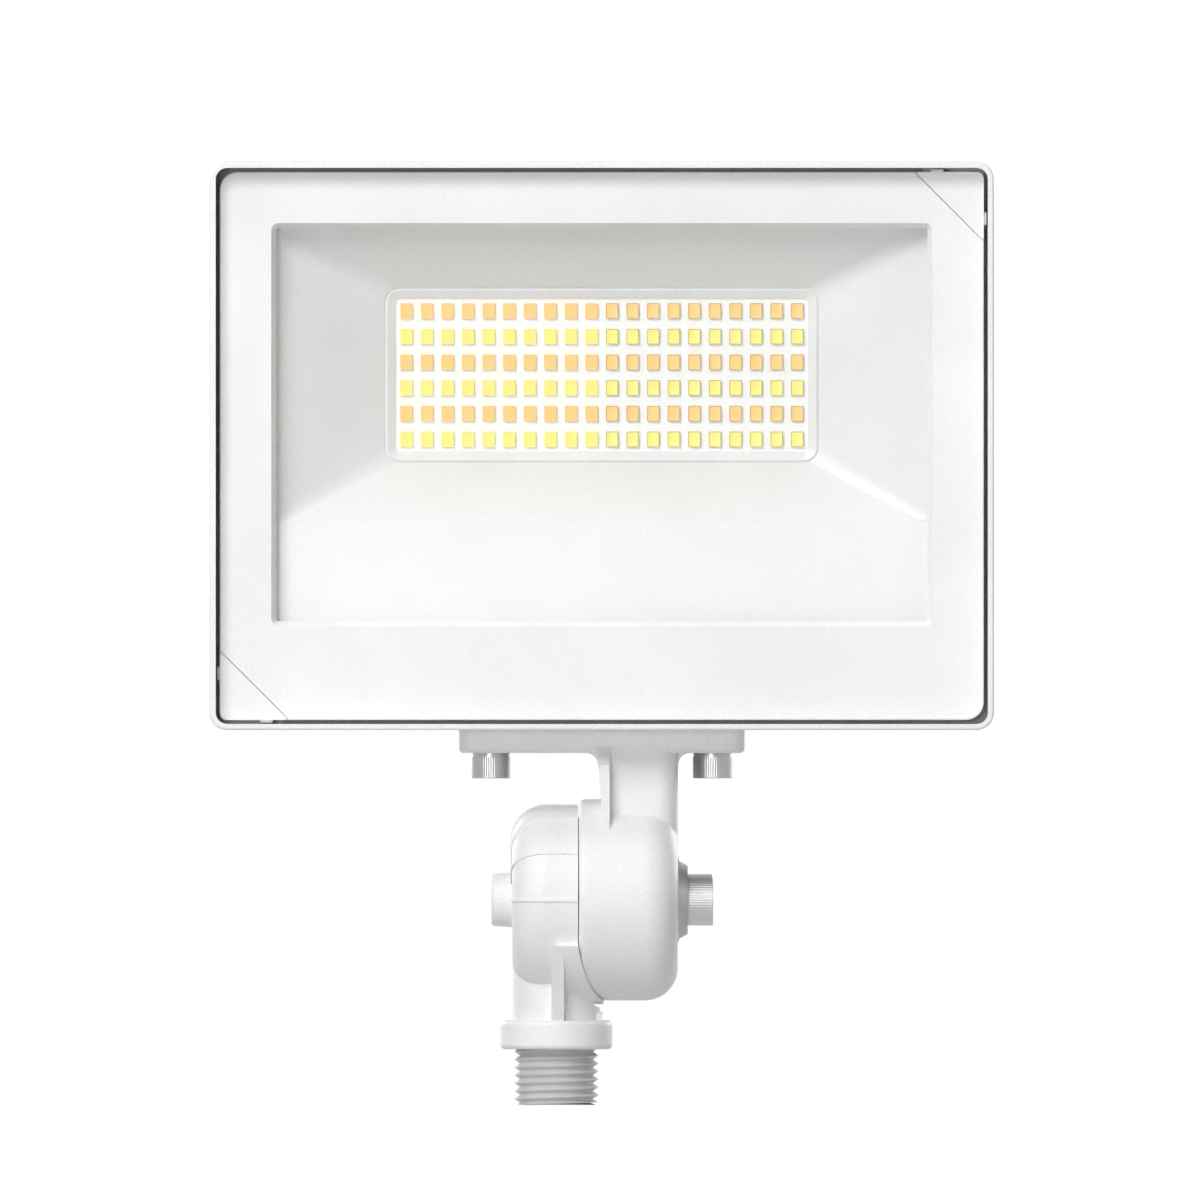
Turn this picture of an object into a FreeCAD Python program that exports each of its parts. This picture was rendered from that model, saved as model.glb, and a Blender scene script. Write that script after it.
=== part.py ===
"""Swivel-mounted LED flood light, as a parametric FreeCAD document.

The origin lies on the stem's axis at the flange's seat, +Z is up and the light shines along -Y.
"""
import FreeCAD, Part
import math
import os
from dataclasses import dataclass

import Sketcher

# Driving sizes in millimetres, angles in degrees, and counts
SIZES = {
    # Head: rim, frame and window, as seen from the front
    "rim_width": 196.0,
    "rim_height": 142.0,
    "rim_wall": 1.5,
    "rim_corner": 4.4,
    "rim_round": 0.6,
    "rim_proud": 6.0,
    "frame_gap": 1.0,
    "frame_corner": 4.5,
    "frame_round": 0.5,
    "side_border": 12.85,
    "top_border": 12.75,
    "bottom_border": 23.4,
    "window_corner": 1.9,
    "window_draft": 1.25,
    # Where the head stands on the knuckle
    "head_offset": 11.35,
    "head_front": 23.0,
    "axis_height": 37.4,
    "arm_reach": 42.6,
    # Layers behind the front face
    "frame_thick": 6.5,
    "lip_thick": 3.0,
    "glass_thick": 3.0,
    "glass_lap": 4.0,
    "glass_corner": 5.0,
    "glass_clear": 0.3,
    "lens_seal_thick": 1.3,
    "lens_seal_setback": 0.8,
    "gasket_width": 3.4,
    "gasket_clear": 0.1,
    "rim_seat_clear": 0.4,
    "rim_seat": 3.6,
    "cavity_corner": 8.0,
    # Corner covers and the screws under them
    "cap_leg": 17.2,
    "cap_gap": 0.2,
    "cap_thick": 1.6,
    "cap_corner": 1.8,
    "cap_tip": 0.4,
    "tongue_start": 4.0,
    "tongue_width": 3.1,
    "tongue_thick": 0.65,
    "tongue_depth": 5.0,
    "tongue_setback": 1.2,
    "frame_screw_inset": 5.2,
    "frame_screw_radius": 1.5,
    "frame_screw_head_radius": 2.8,
    "frame_screw_head": 1.7,
    "frame_screw_length": 11.0,
    "frame_boss_radius": 3.2,
    "gasket_cut": 17.0,
    # Reflector
    "reflector_wall": 1.2,
    "bowl_depth": 12.5,
    "bowl_corner": 1.9,
    "lower_panel": 25.0,
    "lip_width": 2.8,
    "well_corner": 3.75,
    "well_groove": 0.4,
    "lip_flat": 0.3,
    "lip_edge": 0.3,
    # Light source
    "led_columns": 20,
    "led_row_pairs": 3,
    "led_pitch_across": 5.15,
    "led_pitch_down": 6.43,
    "led_width": 3.1,
    "led_height": 3.85,
    "led_thick": 0.8,
    "led_margin": 1.1,
    "led_window_corner": 1.3,
    "board_margin": 11.0,
    "board_thick": 1.6,
    "board_corner": 2.0,
    "pad_margin": 4.0,
    "pad_thick": 0.5,
    "board_screw_inset": 3.25,
    "board_screw_radius": 1.5,
    "board_screw_head_radius": 2.4,
    "board_screw_head": 1.4,
    "board_screw_grip": 3.0,
    # Housing behind the light source
    "floor_thick": 4.0,
    "body_inset": 3.0,
    "body_round": 3.0,
    "flange_depth": 22.5,
    "fin_count": 19,
    "fin_thick": 2.2,
    "fin_height": 18.0,
    "fin_edge": 14.0,
    "fin_end": 7.0,
    "fin_slope": 12.0,
    "fin_round": 6.0,
    # Driver and its bay
    "driver_length": 110.0,
    "driver_height": 30.0,
    "driver_depth": 22.0,
    "driver_round": 2.0,
    "driver_ear": 8.0,
    "driver_ear_thick": 3.0,
    "driver_lift": 5.0,
    "driver_post": 6.0,
    "driver_post_radius": 3.6,
    "driver_screw_radius": 1.75,
    "driver_screw_head_radius": 3.2,
    "driver_screw_head": 2.2,
    "bay_clear": 2.0,
    "box_wall": 3.5,
    "box_proud": 1.0,
    "box_round": 5.0,
    # Leads between driver and board
    "lead_radius": 0.8,
    "lead_count": 3,
    "lead_pitch": 6.0,
    "lead_reach": 5.6,
    "lead_drop": 7.0,
    "lead_landing": 5.0,
    "lead_bend": 2.4,
    # Upper knuckle half
    "plate_margin": 7.95,
    "plate_depth": 27.0,
    "plate_thick": 5.8,
    "plate_corner": 3.5,
    "plate_round": 1.2,
    "plate_screw_clear": 0.5,
    "plate_screw_radius": 3.0,
    "plate_screw_hole": 3.3,
    "plate_screw_head_radius": 5.0,
    "plate_screw_head": 5.3,
    "plate_screw_key": 5.0,
    "plate_screw_grip": 9.0,
    "plate_boss_radius": 6.0,
    "plate_boss_over": 2.0,
    "spring_washer_radius": 4.85,
    "spring_washer_thick": 1.05,
    "spring_washer_slit": 0.8,
    "disc_upper_radius": 25.2,
    "disc_upper_width": 24.75,
    "disc_upper_round": 8.3,
    "disc_edge_round": 1.5,
    "spot_radius": 10.6,
    "spot_height": 0.25,
    "neck_width": 20.2,
    "neck_lean": 2.0,
    "neck_round": 5.0,
    "neck_fillet": 3.4,
    "flare_land": 0.3,
    "neck_step": 0.1,
    "neck_rib": 3.1,
    "rib_proud": 4.5,
    "rib_slope": 3.0,
    "rib_rise": 1.6,
    "neck_sink": 12.0,
    "neck_bore": 5.5,
    "plate_seal_radius": 10.2,
    "seal_section": 0.9,
    "seal_squeeze": 0.2,
    "seal_groove_clear": 0.1,
    # Wire entry of the housing
    "grommet_radius": 8.0,
    "grommet_bore": 4.5,
    "grommet_flange": 1.8,
    "grommet_flange_thick": 1.5,
    "grommet_clear": 0.05,
    # Lower knuckle half
    "split_offset": 5.4,
    "split_gap": 0.25,
    "disc_lower_radius": 23.5,
    "disc_lower_width": 16.5,
    "disc_lower_round": 8.6,
    "boss_length": 5.2,
    "boss_radius": 6.5,
    "boss_draft": 0.35,
    "boss_round": 1.0,
    "index_rib_height": 0.4,
    "index_rib_thick": 0.6,
    "index_rib_inner": 8.6,
    "index_rib_count": 4,
    "index_rib_span": 90.0,
    "stem_radius": 10.9,
    "stem_sink": 12.0,
    "stem_flat": 9.5,
    "swing_clear": 0.3,
    "stop_clear": 1.85,
    "lug_reach": 11.55,
    "lug_depth": 9.0,
    "gusset_thick": 3.15,
    "gusset_offset": 0.3,
    "gusset_top": 11.4,
    "gusset_proud": 2.0,
    "gusset_round": 0.7,
    "gusset_foot": 12.6,
    "skirt_root_wall": 0.05,
    "skirt_tip_wall": 0.65,
    "skirt_overhang": 6.4,
    "skirt_taper": 8.0,
    "skirt_span": 127.0,
    "flange_radius": 14.0,
    "flange_height": 7.25,
    "flange_round": 1.2,
    "knuckle_wall": 4.2,
    "land_width": 6.0,
    "hub_radius": 8.8,
    "stem_bore": 4.5,
    "pivot_seal_radius": 20.2,
    # Threaded stem end: major radius and length of a half-inch straight pipe thread
    "thread_radius": 10.45,
    "thread_length": 14.0,
    "thread_chamfer": 0.8,
    "nipple_bore": 7.0,
    "spigot_radius": 9.0,
    "spigot_length": 6.0,
    "spigot_clear": 0.03,
    "shoulder_sink": 0.3,
    "shoulder_clear": 0.3,
    "relief_depth": 0.4,
    # Clamp bolt and its cup washer
    "bolt_radius": 4.0,
    "bolt_length": 45.0,
    "bolt_head_radius": 6.45,
    "bolt_head": 8.0,
    "bolt_head_round": 0.5,
    "bolt_key": 6.0,
    "bolt_key_depth": 4.0,
    "bolt_clear": 0.06,
    "bolt_end_room": 0.9,
    "bolt_seat_clear": 0.03,
    "washer_inner_face": 9.8,
    "washer_outer_face": 8.6,
    "washer_thick": 2.2,
    "washer_floor": 0.55,
    "washer_head_clear": 0.35,
    "screw_clear": 0.03,
    "through_clear": 0.2,
}

SHEET_NAME = "Sizes"
doc = FreeCAD.newDocument("FloodLight")
sheet = doc.addObject("Spreadsheet::Sheet", SHEET_NAME)
for row, (alias, value) in enumerate(SIZES.items(), start=1):
    sheet.set(f"A{row}", alias)
    sheet.set(f"B{row}", str(value))
    sheet.setAlias(f"B{row}", alias)
doc.recompute()


def size(alias):
    """Return the expression that reads one driving size."""
    return f"{SHEET_NAME}.{alias}"


def number(expression):
    """Return the present value of an expression as a plain number."""
    return float(sheet.evalExpression(expression))


@dataclass(frozen=True)
class Rectangle:
    """A front-view rectangle whose four sides are expressions."""

    left: str
    right: str
    bottom: str
    top: str

    def inset(self, amount):
        """Return the rectangle with every side moved inwards by the expression."""
        return Rectangle(
            f"({self.left} + {amount})",
            f"({self.right} - {amount})",
            f"({self.bottom} + {amount})",
            f"({self.top} - {amount})",
        )

    def corners(self, radius=None):
        """Return the four corners, counter-clockwise from bottom left, rounded if a radius is given."""
        places = [
            (self.left, self.bottom),
            (self.right, self.bottom),
            (self.right, self.top),
            (self.left, self.top),
        ]
        return places if radius is None else [(*place, radius) for place in places]


def centred(across, up, width, height):
    """Return the rectangle of a width and height about a centre."""
    return Rectangle(
        f"({across} - ({width}) / 2)",
        f"({across} + ({width}) / 2)",
        f"({up} - ({height}) / 2)",
        f"({up} + ({height}) / 2)",
    )


# Front-view outlines of the head, from the rim inwards
HEAD_BOTTOM = f"({size('axis_height')} + {size('arm_reach')})"
HEAD_ACROSS = size("head_offset")
HEAD_UP = f"({HEAD_BOTTOM} + {size('rim_height')} / 2)"
RIM = centred(HEAD_ACROSS, HEAD_UP, size("rim_width"), size("rim_height"))
TRAY = RIM.inset(size("rim_wall"))
TRAY_CORNER = f"({size('rim_corner')} - {size('rim_wall')})"
FRAME = TRAY.inset(size("frame_gap"))
WINDOW = Rectangle(
    f"({FRAME.left} + {size('side_border')})",
    f"({FRAME.right} - {size('side_border')})",
    f"({FRAME.bottom} + {size('bottom_border')})",
    f"({FRAME.top} - {size('top_border')})",
)
SIGHT = WINDOW.inset(size("window_draft"))
GLASS = SIGHT.inset(f"(0 - {size('glass_lap')})")
GASKET = TRAY.inset(size("gasket_clear"))
GASKET_INNER = GASKET.inset(size("gasket_width"))
REFLECTOR_RIM = GASKET_INNER.inset(size("rim_seat_clear"))
CAVITY = REFLECTOR_RIM.inset(size("rim_seat"))
BOWL = Rectangle(SIGHT.left, SIGHT.right, f"({SIGHT.bottom} + {size('lower_panel')})", SIGHT.top)

# Light source, centred in the bowl
LIGHT_UP = f"(({BOWL.bottom} + {BOWL.top}) / 2)"
LED_SPAN_ACROSS = f"(({size('led_columns')} - 1) * {size('led_pitch_across')})"
LED_SPAN_DOWN = f"((2 * {size('led_row_pairs')} - 1) * {size('led_pitch_down')})"
LED_WINDOW = centred(
    HEAD_ACROSS,
    LIGHT_UP,
    f"{LED_SPAN_ACROSS} + {size('led_width')} + 2 * {size('led_margin')}",
    f"{LED_SPAN_DOWN} + {size('led_height')} + 2 * {size('led_margin')}",
)
WELL = LED_WINDOW.inset(f"(0 - {size('lip_width')})")
BOARD = LED_WINDOW.inset(f"(0 - {size('board_margin')})")
PAD = LED_WINDOW.inset(f"(0 - {size('pad_margin')})")
BOARD_SCREWS = BOARD.inset(size("board_screw_inset"))

# Depths, measured forwards from the plane of the stem and the tilt axis
FRONT = size("head_front")
RIM_FRONT = f"({FRONT} + {size('rim_proud')})"
FRAME_BACK = f"({FRONT} - {size('frame_thick')})"
GLASS_FRONT = f"({FRONT} - {size('lip_thick')})"
GLASS_BACK = f"({GLASS_FRONT} - {size('glass_thick')})"
BOWL_FRONT = f"({GLASS_BACK} - {size('lens_seal_thick')})"
LEDGE = f"({BOWL_FRONT} - {size('reflector_wall')})"
LIP_FRONT = f"({BOWL_FRONT} - {size('bowl_depth')})"
BOARD_FRONT = f"({LIP_FRONT} - {size('reflector_wall')})"
BOARD_BACK = f"({BOARD_FRONT} - {size('board_thick')})"
FLOOR = f"({BOARD_BACK} - {size('pad_thick')})"
BODY_BACK = f"({FLOOR} - {size('floor_thick')})"
BOX_BACK = f"({BODY_BACK} - {size('fin_height')} - {size('box_proud')})"
BAY_FLOOR = f"({BOX_BACK} + {size('box_wall')})"
FLANGE_BACK = f"({RIM_FRONT} - {size('flange_depth')})"
CAP_SEAT = f"({FRONT} - {size('cap_thick')})"
SCREW_SEAT = f"({CAP_SEAT} - {size('frame_screw_head')} - {size('through_clear')})"
POST_TOP = f"({BAY_FLOOR} + {size('driver_post')})"
EAR_FRONT = f"({POST_TOP} + {size('driver_ear_thick')})"
DRIVER_FRONT = f"({BAY_FLOOR} + {size('driver_depth')})"

# Driver bay
DRIVER_BOTTOM = f"({CAVITY.bottom} + {size('driver_lift')})"
DRIVER_TOP = f"({DRIVER_BOTTOM} + {size('driver_height')})"
DRIVER_UP = f"(({DRIVER_BOTTOM} + {DRIVER_TOP}) / 2)"
DRIVER = centred(HEAD_ACROSS, DRIVER_UP, size("driver_length"), size("driver_height"))
DRIVER_EARS = f"({size('driver_length')} + 2 * {size('driver_ear')})"
EAR_SPREAD = f"({size('driver_length')} + {size('driver_ear')})"
BAY_WIDTH = f"({DRIVER_EARS} + 2 * {size('bay_clear')})"
BAY_TOP = f"({DRIVER_TOP} + {size('bay_clear')})"
BAY = Rectangle(
    f"({HEAD_ACROSS} - {BAY_WIDTH} / 2)", f"({HEAD_ACROSS} + {BAY_WIDTH} / 2)", CAVITY.bottom, BAY_TOP
)
BOX = Rectangle(
    f"({BAY.left} - {size('box_wall')})",
    f"({BAY.right} + {size('box_wall')})",
    HEAD_BOTTOM,
    f"({BAY.top} + {size('box_wall')})",
)

# Knuckle, along the tilt axis and upwards
AXIS_UP = size("axis_height")
SPLIT_LOWER = size("split_offset")
SPLIT_UPPER = f"({SPLIT_LOWER} + {size('split_gap')})"
DISC_LEFT = f"({SPLIT_LOWER} - {size('disc_lower_width')})"
BOSS_LEFT = f"({DISC_LEFT} - {size('boss_length')})"
DISC_RIGHT = f"({SPLIT_UPPER} + {size('disc_upper_width')})"
SPOT_FACE = f"({DISC_RIGHT} + {size('spot_height')})"
NECK_LEFT = f"({DISC_RIGHT} - {size('neck_width')})"
NECK_ACROSS = f"({DISC_RIGHT} - {size('neck_width')} / 2)"
PLATE_TOP = HEAD_BOTTOM
PLATE_BOTTOM = f"({PLATE_TOP} - {size('plate_thick')})"
WASHER_BOTTOM = f"({PLATE_BOTTOM} - {size('spring_washer_thick')})"
HEAD_SEAT = f"({SPOT_FACE} + {size('washer_floor')} + {size('bolt_seat_clear')})"
BOLT_END = f"({HEAD_SEAT} - {size('bolt_length')})"
LAND_INNER = f"({size('pivot_seal_radius')} - {size('land_width')} / 2)"
PLATE_SCREW_GAP = f"({size('neck_fillet')} + {size('plate_screw_clear')})"
PLATE_SCREW_ACROSS = f"({DISC_RIGHT} + {PLATE_SCREW_GAP} + {size('spring_washer_radius')})"
PLATE_SCREW_REACH = f"({PLATE_SCREW_ACROSS} - {HEAD_ACROSS})"
PLATE_SCREW_SPREAD = f"(2 * {PLATE_SCREW_REACH})"
PLATE_WIDTH = f"({PLATE_SCREW_SPREAD} + 2 * {size('plate_margin')})"
SEAL_WIDE = f"({size('seal_section')} + {size('seal_groove_clear')})"
SEAL_DEEP = f"(2 * {size('seal_section')} - {size('seal_squeeze')})"


def new_body(label):
    """Start a sub-part and return its body."""
    body = doc.addObject("PartDesign::Body", "".join(word.capitalize() for word in label.split("_")))
    body.Label = label
    return body


def origin_feature(body, role):
    """Return one of a body's own origin planes or axes."""
    return next(feature for feature in body.Origin.OriginFeatures if feature.Role == role)


def new_sketch(body, plane="XZ_Plane", across="0", up="0", out="0"):
    """Return an empty sketch on a body's origin plane, moved by three expressions in the plane's frame."""
    sketch = body.newObject("Sketcher::SketchObject", "Sketch")
    sketch.AttachmentSupport = [(origin_feature(body, plane), "")]
    sketch.MapMode = "FlatFace"
    for letter, expression in zip("xyz", (across, up, out)):
        sketch.setExpression(f"AttachmentOffset.Base.{letter}", expression)
    return sketch


def bind(sketch, kind, geometry, place, expression):
    """Add a dimension to a sketch and tie it to an expression."""
    index = sketch.addConstraint(Sketcher.Constraint(kind, geometry, *place, number(expression)))
    sketch.setExpression(f"Constraints[{index}]", expression)


def draw_outline(sketch, points):
    """Draw a closed outline through (across, up) or (across, up, corner radius) expressions.

    Every corner is fixed by its own two dimensions, and a rounded one also by its radius.
    """
    spots = [FreeCAD.Vector(number(point[0]), number(point[1]), 0) for point in points]
    rounds = [number(point[2]) if len(point) > 2 else 0.0 for point in points]
    count = len(points)
    arrivals, departures, centres, turns = [], [], [], []
    for here, spot in enumerate(spots):
        back = (spots[here - 1] - spot).normalize()
        ahead = (spots[(here + 1) % count] - spot).normalize()
        half = back.getAngle(ahead) / 2
        reach = rounds[here] / math.tan(half)
        arrivals.append(spot + back * reach)
        departures.append(spot + ahead * reach)
        centres.append(spot + (back + ahead).normalize() * (rounds[here] / math.sin(half)))
        turns.append(back.cross(ahead).z < 0)
    lines = []
    for here in range(count):
        segment = Part.LineSegment(departures[here], arrivals[(here + 1) % count])
        lines.append(sketch.addGeometry(segment, False))
    for here, point in enumerate(points):
        before, after = lines[here - 1], lines[here]
        if rounds[here] == 0.0:
            sketch.addConstraint(Sketcher.Constraint("Coincident", before, 2, after, 1))
            corner = after
        else:
            ends = (arrivals[here], departures[here]) if turns[here] else (departures[here], arrivals[here])
            angles = [math.atan2((end - centres[here]).y, (end - centres[here]).x) for end in ends]
            circle = Part.Circle(centres[here], FreeCAD.Vector(0, 0, 1), rounds[here])
            arc = sketch.addGeometry(Part.ArcOfCircle(circle, *angles), False)
            first, last = (1, 2) if turns[here] else (2, 1)
            sketch.addConstraint(Sketcher.Constraint("Tangent", before, 2, arc, first))
            sketch.addConstraint(Sketcher.Constraint("Tangent", arc, last, after, 1))
            bind(sketch, "Radius", arc, (), point[2])
            corner = sketch.addGeometry(Part.Point(spots[here]), True)
            sketch.addConstraint(Sketcher.Constraint("PointOnObject", corner, 1, before))
            sketch.addConstraint(Sketcher.Constraint("PointOnObject", corner, 1, after))
        bind(sketch, "DistanceX", corner, (1,), point[0])
        bind(sketch, "DistanceY", corner, (1,), point[1])


def draw_circle(sketch, across, up, radius):
    """Draw a circle whose centre and radius are expressions."""
    centre = FreeCAD.Vector(number(across), number(up), 0)
    circle = Part.Circle(centre, FreeCAD.Vector(0, 0, 1), number(radius))
    index = sketch.addGeometry(circle, False)
    bind(sketch, "DistanceX", index, (3,), across)
    bind(sketch, "DistanceY", index, (3,), up)
    bind(sketch, "Radius", index, (), radius)


def draw_hexagon(sketch, across_flats):
    """Draw a hexagonal socket about the sketch's origin."""
    points = []
    for corner in range(6):
        turn = 60 * corner
        reach = f"({across_flats}) / 2 / cos(30)"
        points.append((f"{reach} * cos({turn})", f"{reach} * sin({turn})"))
    draw_outline(sketch, points)


def pad(sketch, length, backwards=False, both_ways=False):
    """Raise a sketch into its body."""
    feature = sketch.getParent().newObject("PartDesign::Pad", "Pad")
    feature.Profile = sketch
    feature.setExpression("Length", length)
    feature.Reversed = backwards
    feature.Midplane = both_ways
    return feature


def pocket(sketch, length, backwards=False, both_ways=False, taper=None):
    """Cut a sketch into its body, away from the sketch's normal."""
    feature = sketch.getParent().newObject("PartDesign::Pocket", "Pocket")
    feature.Profile = sketch
    feature.setExpression("Length", length)
    feature.Reversed = backwards
    feature.Midplane = both_ways
    if taper is not None:
        feature.setExpression("TaperAngle", taper)
    return feature


def revolve(sketch, axis="H_Axis", span=None):
    """Turn a sketch into its body, all the way round or by a span split evenly about its plane."""
    feature = sketch.getParent().newObject("PartDesign::Revolution", "Revolution")
    feature.Profile = sketch
    feature.ReferenceAxis = (sketch, [axis])
    if span is None:
        feature.Angle = 360
    else:
        feature.setExpression("Angle", span)
        feature.Midplane = True
    return feature


def groove(sketch, axis="H_Axis"):
    """Turn a sketch out of its body."""
    feature = sketch.getParent().newObject("PartDesign::Groove", "Groove")
    feature.Profile = sketch
    feature.ReferenceAxis = (sketch, [axis])
    feature.Angle = 360
    return feature


def row_pattern(feature, axis, length, count, second=None):
    """Repeat a feature along one of its body's axes, or along two of them."""
    body = feature.getParent()
    pattern = body.newObject("PartDesign::LinearPattern", "Row")
    pattern.Originals = [feature]
    pattern.Direction = (origin_feature(body, axis), [""])
    pattern.setExpression("Length", length)
    pattern.setExpression("Occurrences", count)
    if second is not None:
        pattern.Direction2 = (origin_feature(body, second[0]), [""])
        pattern.setExpression("Length2", second[1])
        pattern.setExpression("Occurrences2", second[2])
    body.Tip = pattern
    return pattern


def turn_pattern(feature, sketch, axis, angle, count):
    """Repeat a feature round an axis of a sketch."""
    body = feature.getParent()
    pattern = body.newObject("PartDesign::PolarPattern", "Turn")
    pattern.Originals = [feature]
    pattern.Axis = (sketch, [axis])
    pattern.setExpression("Angle", angle)
    pattern.setExpression("Occurrences", count)
    body.Tip = pattern
    return pattern


def round_edges(body, radius, wanted, kind="Fillet"):
    """Round or chamfer the edges of a body's present shape that a test picks."""
    doc.recompute()
    base = body.Tip
    names = [f"Edge{place}" for place, edge in enumerate(base.Shape.Edges, start=1) if wanted(edge)]
    feature = body.newObject(f"PartDesign::{kind}", kind)
    feature.Base = (base, names)
    feature.setExpression("Radius" if kind == "Fillet" else "Size", radius)
    return feature


def lies_at(edge, axis, place):
    """Tell whether every point of an edge has one coordinate."""
    box = edge.BoundBox
    low, high = {"x": (box.XMin, box.XMax), "y": (box.YMin, box.YMax), "z": (box.ZMin, box.ZMax)}[axis]
    near = 1e-4
    return abs(low - place) < near and abs(high - place) < near


def within(edge, rectangle, slack=1e-3):
    """Tell whether an edge lies inside a front-view rectangle, its sides included."""
    box = edge.BoundBox
    return (
        box.XMin > number(rectangle.left) - slack
        and box.XMax < number(rectangle.right) + slack
        and box.ZMin > number(rectangle.bottom) - slack
        and box.ZMax < number(rectangle.top) + slack
    )


def make_rear_housing():
    """Cast tray: rim, ledge for the seals, finned back and driver bay."""
    body = new_body("rear_housing")

    # Front flange and the narrower body behind it, level at the bottom
    flange = new_sketch(body, out=RIM_FRONT)
    draw_outline(flange, RIM.corners(size("rim_corner")))
    pad(flange, size("flange_depth"), backwards=True)
    shell = new_sketch(body, out=FLANGE_BACK)
    narrow = Rectangle(
        f"({RIM.left} + {size('body_inset')})",
        f"({RIM.right} - {size('body_inset')})",
        RIM.bottom,
        f"({RIM.top} - {size('body_inset')})",
    )
    draw_outline(shell, narrow.corners(size("rim_corner")))
    pad(shell, f"{FLANGE_BACK} - {BODY_BACK}", backwards=True)
    back = -number(BODY_BACK)
    round_edges(body, size("body_round"), lambda edge: lies_at(edge, "y", back))

    # Driver box on the back
    box = new_sketch(body, out=BODY_BACK)
    draw_outline(box, BOX.corners(size("rim_corner")))
    pad(box, f"{BODY_BACK} - {BOX_BACK}", backwards=True)
    rear = -number(BOX_BACK)
    round_edges(body, size("box_round"), lambda edge: lies_at(edge, "y", rear))

    # Cooling fins, which the box interrupts
    fin = new_sketch(body, "YZ_Plane", out=f"{RIM.left} + {size('fin_edge')}")
    root = f"(0 - {BODY_BACK} - {size('floor_thick')} / 2)"
    shallow = f"(0 - {BODY_BACK} + {size('fin_round')})"
    tip = f"(0 - {BODY_BACK} + {size('fin_height')})"
    low, high = f"({RIM.bottom} + {size('fin_end')})", f"({RIM.top} - {size('fin_end')})"
    draw_outline(
        fin,
        [
            (root, low),
            (shallow, low, size("fin_round")),
            (tip, f"{low} + {size('fin_slope')}", size("fin_round")),
            (tip, f"{high} - {size('fin_slope')}", size("fin_round")),
            (shallow, high, size("fin_round")),
            (root, high),
        ],
    )
    first_fin = pad(fin, size("fin_thick"), both_ways=True)
    row_pattern(first_fin, "X_Axis", f"{size('rim_width')} - 2 * {size('fin_edge')}", size("fin_count"))

    # Tray for the frame, cavity behind it and bay for the driver
    tray = new_sketch(body, out=RIM_FRONT)
    draw_outline(tray, TRAY.corners(TRAY_CORNER))
    pocket(tray, f"{RIM_FRONT} - {LEDGE}")
    cavity = new_sketch(body, out=LEDGE)
    draw_outline(cavity, CAVITY.corners(size("cavity_corner")))
    pocket(cavity, f"{LEDGE} - {FLOOR}")
    bay = new_sketch(body, out=FLOOR)
    draw_outline(bay, BAY.corners(size("rim_corner")))
    pocket(bay, f"{FLOOR} - {BAY_FLOOR}")

    # Posts for the driver and bosses for the frame and plate screws
    posts = new_sketch(body, across=HEAD_ACROSS, up=DRIVER_UP, out=BAY_FLOOR)
    for side in ("", "0 - "):
        draw_circle(posts, f"{side}{EAR_SPREAD} / 2", "0", size("driver_post_radius"))
    pad(posts, size("driver_post"))
    frame_bosses = new_sketch(body, across=HEAD_ACROSS, up=HEAD_UP, out=LEDGE)
    for across, up in frame_screw_places():
        draw_circle(frame_bosses, across, up, size("frame_boss_radius"))
    pad(frame_bosses, f"{FRAME_BACK} - {LEDGE}")
    plate_bosses = new_sketch(body, "XY_Plane", across=HEAD_ACROSS, out=CAVITY.bottom)
    for side in ("", "0 - "):
        draw_circle(plate_bosses, f"{side}{PLATE_SCREW_REACH}", "0", size("plate_boss_radius"))
    boss_top = f"({HEAD_BOTTOM} + {size('plate_screw_grip')} + {size('plate_boss_over')})"
    pad(plate_bosses, f"{boss_top} - {CAVITY.bottom}")

    # Tapped holes and the wire entry
    post_holes = new_sketch(body, across=HEAD_ACROSS, up=DRIVER_UP, out=POST_TOP)
    for side in ("", "0 - "):
        hole = f"{size('driver_screw_radius')} + {size('screw_clear')}"
        draw_circle(post_holes, f"{side}{EAR_SPREAD} / 2", "0", hole)
    pocket(post_holes, size("driver_post"))
    frame_holes = new_sketch(body, across=HEAD_ACROSS, up=HEAD_UP, out=FRAME_BACK)
    for across, up in frame_screw_places():
        draw_circle(frame_holes, across, up, f"{size('frame_screw_radius')} + {size('screw_clear')}")
    grip = f"({size('frame_screw_length')} - ({SCREW_SEAT} - {FRAME_BACK}))"
    pocket(frame_holes, f"{grip} + {size('through_clear')}")
    board_holes = new_sketch(body, out=FLOOR)
    for across, up in BOARD_SCREWS.corners():
        draw_circle(board_holes, across, up, f"{size('board_screw_radius')} + {size('screw_clear')}")
    pocket(board_holes, f"{size('board_screw_grip')} + {size('through_clear')}")
    plate_holes = new_sketch(body, "XY_Plane", across=HEAD_ACROSS, out=HEAD_BOTTOM)
    for side in ("", "0 - "):
        hole = f"{size('plate_screw_radius')} + {size('screw_clear')}"
        draw_circle(plate_holes, f"{side}{PLATE_SCREW_REACH}", "0", hole)
    pocket(plate_holes, f"{size('plate_screw_grip')} + {size('through_clear')}", backwards=True)
    entry = new_sketch(body, "XY_Plane", out=HEAD_BOTTOM)
    draw_circle(entry, NECK_ACROSS, "0", f"{size('grommet_radius')} + {size('grommet_clear')}")
    pocket(entry, f"{CAVITY.bottom} - {HEAD_BOTTOM}", backwards=True)

    front = -number(RIM_FRONT)
    inner = TRAY.inset(f"(0 - {size('rim_wall')} / 2)")
    round_edges(body, size("rim_round"), lambda edge: lies_at(edge, "y", front) and not within(edge, inner))
    return body


def frame_screw_places():
    """Return the two frame screws' places about the head's centre, top right and bottom left."""
    inset = f"({size('rim_wall')} + {size('frame_gap')} + {size('frame_screw_inset')})"
    across = f"({size('rim_width')} / 2 - {inset})"
    up = f"({size('rim_height')} / 2 - {inset})"
    return [(across, up), (f"0 - {across}", f"0 - {up}")]


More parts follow.
